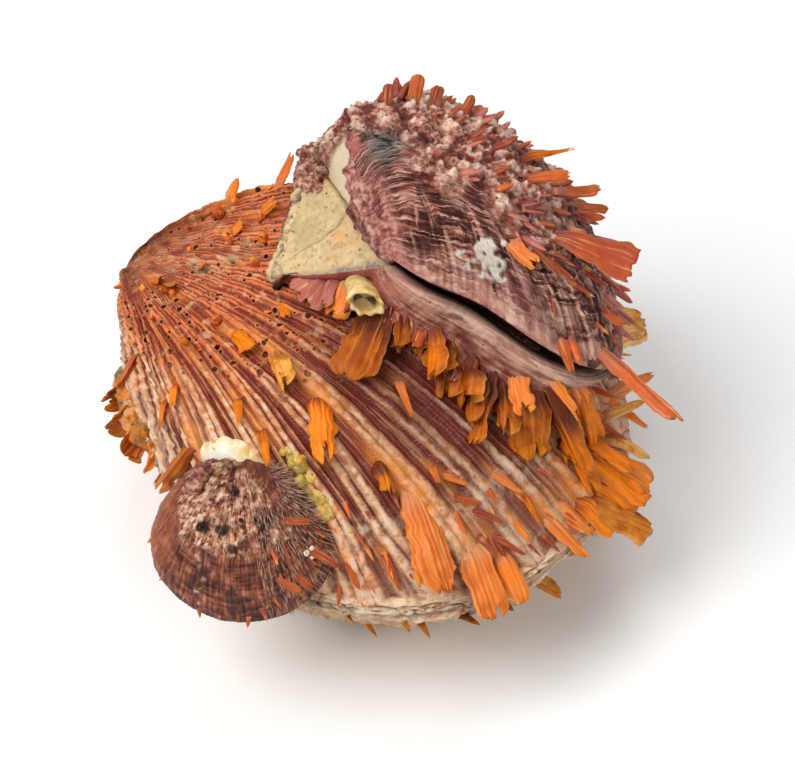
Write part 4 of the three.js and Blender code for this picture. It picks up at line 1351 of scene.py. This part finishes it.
def wing_finish():
    stops = [(0.38, 74, 36, 36), (0.47, 122, 70, 60), (0.55, 156, 100, 82), (0.64, 196, 150, 122)]
    return mottled_finish("purple_brown_wing", 2.2, 0.9, 0.5, stops)


def porcelain_finish():
    f = Finish("cream_porcelain")
    patch = f.noise(5)
    fine = f.noise(0.8, detail=2)
    colour = f.ramp(patch, [(0.38, 216, 180, 112), (0.48, 228, 210, 170), (0.6, 230, 222, 204)])
    return f.finish(colour, 0.28, fine * 0.3 + patch * 0.6, 0.3)


def frill_finish():
    f = Finish("cream_frills")
    patch = f.noise(4)
    small = f.noise(1.2)
    fine = f.noise(0.5, detail=2)
    colour = f.ramp(patch * 0.5 + small * 0.5, [
        (0.36, 156, 104, 76), (0.46, 212, 174, 140), (0.58, 232, 206, 176), (0.7, 226, 170, 124),
    ])
    return f.finish(colour, 0.5, small + fine * 0.5, 0.4, Specular_IOR_Level=SHINE)


def stump_finish():
    f = Finish("cream_stump")
    patch = f.noise(2.2)
    fine = f.noise(0.5, detail=2)
    colour = f.ramp(patch, [(0.36, 206, 160, 78), (0.5, 224, 196, 128), (0.64, 228, 210, 164)])
    colour = f.blend(colour, (176, 146, 90), f.mark("deep") * 0.75)
    colour = f.blend(colour, (84, 54, 26), f.mark("slot"))
    return f.finish(
        colour, 0.5, patch + fine * 0.4, 0.3,
        Subsurface_Weight=0.2, Subsurface_Radius=(0.003, 0.002, 0.001), Subsurface_Scale=1.0,
    )


# Pieces
def large_upper():
    valve = Valve(LARGE, 1, columns=440, hinge_columns=10, rows=190)
    s, t, points = valve.s, valve.t, valve.points
    sway = noise_at(s * 9, t * 3.5, 0, 3, 2)
    drift = noise_at(s * 5, t * 1.5, 7, 4, 2)
    turns = 37.0 * (s + 1) + 0.9 * sway
    main = waves(turns / 3.1 + 0.5 * drift) ** 1.3
    rib = waves(turns)
    number = np.floor(turns + 0.5).astype(int)
    high = np.random.default_rng(SEED).uniform(0.3, 1.5, 400)[number]
    bold = smooth(0.15, 0.45, t)
    relief = 1.7 * bold * main + (0.14 + 0.55 * t) * rib**0.7 * high
    growth = t * 22 + 1.0 * noise(points, 12, 4, 2)
    relief -= (0.2 + 0.5 * t) * (growth % 1.0) ** 2 * (0.4 + 0.8 * main)
    relief += 0.9 * noise(points, 9, 5) + 0.5 * noise(points, 2.6, 6)
    worn = smooth(0.5, 0.15, t) * smooth(0.0, 0.4, noise(points, 7, 7))
    relief -= 0.7 * worn
    relief += 0.9 * smooth(0.84, 0.87, t) * smooth(0.93, 0.89, t) * (0.6 + 0.6 * noise(points, 9, 9))
    frill = smooth(0.95, 1.0, t)
    relief += frill * (1.0 * noise(points, 4.5, 10, 2) - 0.9)
    relief *= smooth(0.0, 0.06, t)
    relief += UMBO_SWELL * hump(t, 0.2) * (1 + 0.25 * noise(points, 5, 12, 2))
    band = hump(t - 0.875, 0.022) + smooth(0.95, 0.985, t)
    band = np.clip(band * (0.55 + 0.9 * noise(points, 8, 8)), 0, 1)
    stain = np.zeros_like(s)
    for spec in LARGE_UPPER_LEAVES:
        base, way, _ = growth_frame(LARGE, 1, spec[0], spec[1])
        away = points - base
        onward = away @ way
        sideways = np.sqrt(np.maximum(0, np.sum(away**2, -1) - onward**2))
        stain += np.exp(-((onward / (spec[3] * 1.3)) ** 2) - (sideways / (spec[3] * 0.33)) ** 2)
    pit = np.zeros_like(s)
    pit_edge = np.zeros_like(s)
    for pit_s, pit_t, radius, depth in LARGE_PITS:
        centre = valve_points(LARGE, 1, pit_s, pit_t)
        away = np.sum((points - centre) ** 2, -1) / radius**2
        relief -= depth * np.exp(-(away**2))
        pit = np.maximum(pit, np.exp(-((away * 2.4) ** 2)))
        pit_edge = np.maximum(pit_edge, np.exp(-((away * 0.7) ** 2)))
    grey = smooth(0.22, 0.06, t) * smooth(0.0, 0.4, np.abs(s))
    # Painted shade: a soft patch under the medium shell, where its shadow falls; the finish greys the stripes
    # and darkens the colour there.
    under_medium_shade = np.exp(-(((s + 0.04) / np.where(s > -0.04, 0.25, 0.19)) ** 2) - ((t - 0.67) / 0.23) ** 2)
    marks = dict(
        turns=np.where(valve.hinge > 0, 0.0, turns), main=main, band=band, stain=np.clip(stain, 0, 1),
        pit=pit, pit_edge=pit_edge, grey=grey, worn=worn, under_medium_shade=under_medium_shade,
    )
    return valve_object("large_upper_shell", valve, relief, marks)


def large_lower():
    columns = 360
    flare = 2.8 * hump(np.linspace(-1, 1, columns + 1) + 0.38, 0.4)
    valve = Valve(LARGE, -1, columns=columns, hinge_columns=10, rows=90, flare=flare)
    s, t, points = valve.s, valve.t, valve.points
    growth = t * 17 + 0.9 * noise(points, 13, 11, 2)
    part = growth % 1.0
    relief = 1.6 * part**2 * smooth(0.2, 0.6, t) + 0.9 * noise(points, 8, 12) + 0.4 * noise(points, 2.2, 13)
    relief += 0.5 * np.cos(2 * np.pi * (34 * (s + 1) + 0.7 * noise(points, 10, 14, 2))) * t
    relief *= smooth(1.0, 0.975, t) * 0.75 + 0.25
    ledge = smooth(0.3, 0.0, part)
    scar = smooth(2.5, 0.5, points[..., 2])
    return valve_object("large_lower_shell", valve, relief, dict(ledge=ledge, scar=scar))


def near_place(points, shell, side, s, t, radius):
    """1 at a place on a valve, falling off over the radius."""
    centre = valve_points(shell, side, s, t)
    return np.exp(-np.sum((points - centre) ** 2, -1) / radius**2)


def medium_upper():
    valve = Valve(MEDIUM, 1, columns=540, hinge_columns=54, rows=130)
    s, t, points, hinge, turn = valve.s, valve.t, valve.points, valve.hinge, valve.turn
    turns = 48 * (s + 1) + 0.7 * noise_at(s * 9, t * 4, 0, 21, 2)
    rib = waves(turns)
    crown = smooth(0.82, 0.4, t) * smooth(-0.97, -0.75, s)
    crust = smooth(0.05, 0.4, noise(points, 10, 22) + 0.75 * crown - 0.12) * (1 - hinge)
    coarse = smooth(0.75, 0.1, knobs(points, 4.2, 25))
    nub = np.clip(0.75 * coarse + 0.6 * smooth(0.7, 0.1, knobs(points, 1.9, 26)), 0, 1)
    relief = 0.5 * rib * smooth(0.45, 0.9, t) + 1.4 * noise(points, 12, 23) + 0.6 * noise(points, 4, 24)
    growth = t * 24 + 1.0 * noise(points, 14, 28, 2)
    relief -= 0.6 * (growth % 1.0) ** 2
    relief += crust * (1.9 * nub - 0.6 + 1.3 * noise(points, 2.2, 27, 3))
    relief *= smooth(0.0, 0.06, t) * (1 - hinge) * (1 - 0.75 * smooth(0.93, 1.0, t))
    face = hinge * smooth(0.0, 0.05, turn) * smooth(1.0, 0.95, turn)
    wave = 0.05 * noise(points, 4, 29)
    strip = smooth(0.12, 0.17, turn + wave) * smooth(0.7, 0.64, turn + wave + 0.12 * t)
    ligament = hinge * strip * smooth(0.03, 0.1, t)
    lip = face * smooth(0.62, 0.74, turn + wave + 0.12 * t)
    knobby = 1.0 * noise(points, 5, 30) + 1.2 * smooth(0.6, 0.1, knobs(points, 3.0, 31))
    relief += face * knobby * (1 - ligament)
    relief += 2.4 * lip * smooth(1.0, 0.9, t) * smooth(0.1, 0.4, t) - 0.8 * ligament
    dark = near_place(points, MEDIUM, 1, -0.88, 0.22, 5.5) * (1 - hinge)
    opening = SLIT_LIFT * hump(s + 0.83, 0.25) * smooth(0.74, 1.0, t) * (1 - hinge)
    valve.points += opening[..., None] * axes_of(MEDIUM)[2]
    near_slit = smooth(-0.935, -0.985, s) * (1 - hinge)
    pink = near_slit * (smooth(0.25, 0.1, t) + smooth(0.45, 0.8, t))
    lace = near_place(points, MEDIUM, 1, -0.68, 0.77, 5.0)
    lace += 0.8 * near_place(points, MEDIUM, 1, -0.665, 0.84, 3.0)
    lace = smooth(0.5, 0.58, lace + 0.9 * noise(points, 2.2, 32, 2) * (lace > 0.1))
    lace = lace * smooth(0.2, 0.3, knobs(points, 2.4, 33))
    relief += 0.5 * lace
    wander = s + 0.69 + 0.006 * np.sin(t * 90)
    crack = hump(wander, 0.0042) * smooth(0.84, 0.86, t) * smooth(0.96, 0.93, t)
    crack += hump(s + 0.74, 0.0025) * smooth(0.7, 0.72, t) * smooth(0.79, 0.77, t)
    lip = np.maximum(lip, 0.8 * near_slit * smooth(0.25, 0.45, t))
    marks = dict(
        turns=turns, crust=crust, nub=nub, dark=dark, pink=pink, ligament=ligament, lace=lace,
        crack=np.clip(crack, 0, 1), lip=lip,
    )
    return valve_object("medium_upper_shell", valve, relief, marks)


def medium_lower():
    valve = Valve(MEDIUM, -1, columns=390, hinge_columns=64, rows=84)
    s, t, points, hinge, turn = valve.s, valve.t, valve.points, valve.hinge, valve.turn
    rib = waves(44 * (s + 1))
    rear = smooth(-0.44, -0.34, s) * (1 - hinge)
    relief = (0.15 + 0.5 * rear) * rib * t + (0.5 + 0.7 * rear) * noise(points, 9, 31)
    relief += 0.2 * noise(points, 2.5, 32)
    growth = t * 30 + 0.6 * noise(points, 12, 33, 2)
    relief -= (0.2 + 0.6 * rear) * (growth % 1.0) ** 2
    front = smooth(-0.995, -0.975, s) * smooth(-0.36, -0.46, s) * (1 - hinge)
    brim = 0.87 + 0.02 * noise_at(s * 40, 0, 0, 35, 2)
    # The recess cuts in under the band; the finish also paints it dark as painted shade.
    recess = front * smooth(brim, brim - 0.05, t)
    relief -= 5.0 * recess
    relief += 0.6 * front * smooth(brim - 0.01, brim + 0.01, t) * smooth(brim + 0.06, brim, t)
    relief *= (1 - hinge) * smooth(0.0, 0.05, t)
    relief += hinge * (0.5 * noise(points, 3.0, 34) + 1.5 * noise(points, 9, 37, 2))
    wander = turn - 0.52 + 0.04 * noise(points, 8, 38, 2)
    groove = hinge * hump(wander, 0.012) * smooth(0.15, 0.35, t) * smooth(1.0, 0.9, t)
    relief -= 0.35 * groove
    violet = hinge * smooth(0.88, 0.985, turn + 0.05 * noise(points, 3, 36))
    marks = dict(groove=groove, violet=violet, recess=recess, rear=rear)
    return valve_object("medium_lower_shell", valve, relief, marks)


def small_upper():
    valve = Valve(SMALL, 1, columns=340, hinge_columns=14, rows=90)
    s, t, points, hinge = valve.s, valve.t, valve.points, valve.hinge
    rib = waves(44 * (s + 1))
    band = smooth(-0.35, -0.5, s) * smooth(0.5, 0.7, t)
    ragged = 0.6 * noise(points, 5, 41, 2) + 0.5 * noise(points, 1.7, 48, 2)
    crust = smooth(0.0, 0.4, ragged + 1.0 * smooth(0.8, 0.3, t) * smooth(0.6, 0.1, s) - 0.35)
    crust = crust * (1 - band) * (1 - hinge)
    fibres = noise_at(s * 34, t * 7, 0, 45)
    nub = smooth(0.7, 0.1, knobs(points, 2.0, 46))
    relief = 0.2 * rib * t + 0.7 * noise(points, 5, 42)
    relief += crust * (0.7 * nub + 0.9 * fibres)
    relief *= smooth(0.0, 0.08, t) * (1 - 0.6 * smooth(0.94, 1.0, t))
    relief += 0.5 * smooth(0.9, 1.0, t) * noise(points, 3.5, 47, 2)
    spot = np.zeros_like(s)
    for spot_s, spot_t, radius in SMALL_SPOTS:
        spot = np.maximum(spot, near_place(points, SMALL, 1, spot_s, spot_t, radius * 1.3))
    spot = smooth(0.25, 0.8, spot + 0.5 * noise(points, 1.3, 44, 2))
    marks = dict(crust=crust, nub=nub, spot=spot, smooth_band=band)
    return valve_object("small_upper_shell", valve, relief, marks)


def small_lower():
    valve = Valve(SMALL, -1, columns=140, hinge_columns=24, rows=32)
    relief = 0.4 * noise(valve.points, 4, 51) * smooth(0.0, 0.1, valve.t)
    return valve_object("small_lower_shell", valve, relief, {})


def seats_on(shell, side, places, flat, lift=0.0, rise=0.0, share=1.0):
    """Seats for lumps on a valve, each raised by lift millimetres and by rise times its radius."""
    seats = []
    for s, t, radius in places:
        place, _, out = growth_frame(shell, side, s, t)
        seats.append((place + out * (lift + rise * radius), radius * share, out, flat))
    return seats


def sponge():
    luck = np.random.default_rng(SEED + 3)
    seats = []
    for s, t, radius in SPONGE_SEATS:
        for _ in range(SPONGE_LUMPS):
            at_s = s + luck.uniform(-0.012, 0.012)
            place, _, out = growth_frame(LARGE, 1, at_s, t + luck.uniform(-0.015, 0.015))
            size = radius * luck.uniform(0.6, 1.1)
            seats.append((place + out * luck.uniform(0.2, 1.2), size, out, luck.uniform(0.5, 0.8)))
    return lumps_object("olive_sponge", seats, seed=61, knob=2.2, rings=14, sides=20)


def skirt_leaves():
    """Small ragged leaves in a second layer under the medium shell's band."""
    luck = np.random.default_rng(SEED + 7)
    leaves = []
    for index in range(SKIRT_COUNT):
        s = -0.93 + 0.46 * (index + luck.uniform(0, 1)) / SKIRT_COUNT
        # The amber tones 0.68 and 0.71 take the leaf finish's darker amber and the painted shade at the root.
        tone = luck.choice([0.02, 0.12, 0.2, 0.68, 0.71])
        leaves.append((
            s, luck.uniform(0.85, 0.9), luck.uniform(4, 9), luck.uniform(2.5, 4.5), luck.uniform(15, 60),
            luck.uniform(85, 135), luck.uniform(-20, 40), luck.uniform(0.6, 1.2), tone, 1.0,
        ))
    return tuple(leaves)


def nubs():
    seats = seats_on(LARGE, 1, NUB_SEATS, flat=1.25, rise=0.4, share=0.85)
    return lumps_object("broken_spine_stubs", seats, seed=81, knob=0.8, rings=12, sides=18)


def hinge_crust():
    """Knobbly growth over the back end of the medium shell's hinge."""
    back_end = valve_points(MEDIUM, -1, 1.0, 1.0)
    front_end = valve_points(MEDIUM, -1, -1.0, 1.0)
    beak = valve_points(MEDIUM, -1, 0.0, 0.0)
    seats = []
    for onward, down, radius in HINGE_CRUST_SEATS:
        centre = back_end + onward * (front_end - back_end) + down * (beak - back_end)
        seats.append((centre, radius * 0.78, axes_of(MEDIUM)[2], 1.0))
    return lumps_object("hinge_crust", seats, seed=91, knob=1.6)


def hinge_rim():
    """The rolled cream edge of the medium shell's hinge, with a knob at its corner."""
    back_end = valve_points(MEDIUM, -1, 1.0, 1.0)
    beak = valve_points(MEDIUM, -1, 0.0, 0.0)
    luck = np.random.default_rng(SEED + 9)
    seats = []
    for share in np.linspace(0.2, 1.0, RIM_COUNT):
        centre = back_end + share * (beak - back_end) + luck.uniform(-0.5, 0.5, 3)
        radius = luck.uniform(1.3, 2.1) + 1.0 * smooth(0.9, 1.0, share)
        seats.append((centre, radius, axes_of(MEDIUM)[1], 0.8))
    return lumps_object("cream_hinge_rim", seats, seed=93, knob=None, rings=14, sides=20)


def small_hinge():
    """The smooth cream hinge end that shows behind the small shell."""
    seats = seats_on(LARGE, 1, SMALL_HINGE_SEATS, flat=0.42, lift=0.6)
    seats += seats_on(SMALL, 1, SMALL_GRAIN_SEATS, flat=0.6, lift=0.7)
    return lumps_object("small_cream_hinge", seats, seed=95, knob=None)


def small_wing():
    """The brown wing of the small shell that laps over its cream hinge."""
    seats = seats_on(SMALL, 1, WING_SEATS, flat=0.5)
    return lumps_object("small_brown_wing", seats, seed=97, knob=1.5, rings=14, sides=22)


def margin_frills():
    """Thin fluted sheets that stand out between the large valves, one above the other."""
    hinge, along, up, across = axes_of(LARGE)
    s = np.linspace(-0.8, 0.9, FRILL_STEPS)
    edge_x, edge_y, reach = margin_of(LARGE, s)
    centre_x, centre_y = LARGE["centre"]
    edge = hinge + edge_x[:, None] * across + edge_y[:, None] * along
    way = ((edge_x - centre_x) / reach)[:, None] * across + ((edge_y - centre_y) / reach)[:, None] * along
    fade = smooth(-0.8, -0.7, s) * smooth(0.9, 0.8, s)
    sides = len(FRILL_PROFILE)
    last = (len(s) - 1) * sides
    faces = ring_faces(0, len(s), sides, False)
    faces += [list(range(sides)), list(range(last, last + sides))]
    parts = []
    for seed, (level, stick) in enumerate(FRILL_LAYERS):
        place = np.stack([s * 70, 0 * s + 9 * seed, 0 * s], -1)
        wave = noise(place, 1.0, 101 + seed, 2) * fade
        reach_out = stick * (0.75 + 0.5 * noise(place * 0.6, 1.0, 111 + seed, 3)) * fade
        ring = []
        for share, lay, thick in FRILL_PROFILE:
            out = np.where(share > 0, share * reach_out, share * 5.0)
            height = level + 1.1 * lay * wave + thick
            ring.append(edge + out[:, None] * way + height[:, None] * up)
        parts.append((np.stack(ring, axis=1).reshape(-1, 3), faces, {}))
    return joined_object("margin_frills", parts)


def cement():
    seats = seats_on(LARGE, -1, CEMENT_SEATS, flat=0.85, rise=0.35)
    return lumps_object("cemented_crust", seats, seed=71, knob=2.4)


def stump():
    place, _, _ = growth_frame(MEDIUM, -1, *STUMP_SEAT)
    return stump_object("hollow_stump", place + np.array(STUMP_SHIFT), STUMP_AIM, STUMP_RADIUS, STUMP_LENGTH)


def settle(obj, valve, material=None):
    """Gives a piece its material and its body, and hides the solid that it stands for."""
    node = valve + "_valve"
    slot = valve + "_shell"
    if material is not None:
        obj.data.materials.clear()
        obj.data.materials.append(material)
    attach(obj, "root")
    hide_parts(node)


def build_cluster():
    leaf = leaf_finish()
    for name, shape, finish in (
        ("large_upper", large_upper, large_upper_finish),
        ("large_lower", large_lower, large_lower_finish),
        ("medium_upper", medium_upper, medium_upper_finish),
        ("medium_lower", medium_lower, medium_lower_finish),
        ("small_upper", small_upper, small_upper_finish),
        ("small_lower", small_lower, small_lower_finish),
    ):
        settle(shape(), name, finish())
    for name, shell, side, leaves, rows, seat, blunt in (
        ("large_upper", LARGE, 1, LARGE_UPPER_LEAVES, LARGE_UPPER_ROWS, 1.6, 0.25),
        ("large_lower", LARGE, -1, LARGE_LOWER_LEAVES, LARGE_LOWER_ROWS, 0.0, 0.25),
        ("medium_upper", MEDIUM, 1, MEDIUM_UPPER_LEAVES, MEDIUM_UPPER_ROWS, 0.8, 0.5),
        ("medium_lower", MEDIUM, -1, MEDIUM_LOWER_LEAVES + skirt_leaves(), MEDIUM_LOWER_ROWS, -0.4, 0.25),
        ("small_upper", SMALL, 1, SMALL_UPPER_LEAVES, SMALL_UPPER_ROWS, 0.4, 0.4),
    ):
        settle(leaves_object(name + "_leaves", shell, side, leaves, len(name), seat), name, leaf)
        settle(spines_object(name + "_spines", shell, side, rows, leaf, blunt=blunt), name)
    bristle = bristle_finish()
    bristles = spines_object("small_bristles", SMALL, 1, BRISTLE_ROWS, bristle, sides=4, rings=2, blunt=0.1)
    settle(bristles, "small_upper")
    for name, shape, finish in (
        ("large_upper", sponge, sponge_finish),
        ("large_lower", cement, cement_finish),
        ("medium_lower", stump, stump_finish),
        ("large_upper", nubs, nub_finish),
        ("large_lower", margin_frills, frill_finish),
        ("medium_upper", hinge_crust, crust_finish),
        ("medium_lower", hinge_rim, rim_finish),
        ("small_lower", small_hinge, porcelain_finish),
        ("small_upper", small_wing, wing_finish),
    ):
        settle(shape(), name, finish())


# Stage
def build_stage():
    scene = bpy.context.scene
    elevation = math.radians(CAMERA_ELEVATION)
    back = Vector((0, -math.cos(elevation), math.sin(elevation)))
    camera = bpy.data.objects.new("camera", bpy.data.cameras.new("camera"))
    camera.data.lens = LENS
    camera.data.sensor_width = SENSOR_WIDTH
    camera.data.sensor_fit = "HORIZONTAL"
    camera.location = (Vector(LOOK_AT) + back * CAMERA_DISTANCE) * MM
    camera.rotation_euler = (-back).to_track_quat("-Z", "Y").to_euler()
    scene.collection.objects.link(camera)
    scene.camera = camera
    floor_mesh = bpy.data.meshes.new("floor")
    corners = [(x * FLOOR_REACH, y * FLOOR_REACH, 0) for x, y in ((-1, -1), (1, -1), (1, 1), (-1, 1))]
    floor_mesh.from_pydata(corners, [], [(0, 1, 2, 3)])
    floor = bpy.data.objects.new("floor", floor_mesh)
    scene.collection.objects.link(floor)
    f = Finish("pale_floor")
    floor_mesh.materials.append(f.finish(rgb(250, 250, 249), 0.8))
    for name, place, size, power in LIGHTS:
        light = bpy.data.objects.new(name, bpy.data.lights.new(name, "AREA"))
        light.data.size = size
        light.data.energy = power
        light.location = place
        light.rotation_euler = (Vector(LIGHT_TARGET) - Vector(place)).to_track_quat("-Z", "Y").to_euler()
        scene.collection.objects.link(light)
    world = bpy.data.worlds.new("studio")
    world.use_nodes = True
    background = world.node_tree.nodes["Background"]
    background.inputs[0].default_value = (1, 1, 1, 1)
    background.inputs[1].default_value = WORLD_LIGHT
    scene.world = world
    scene.view_settings.view_transform = "Standard"


build_stage()
build_cluster()
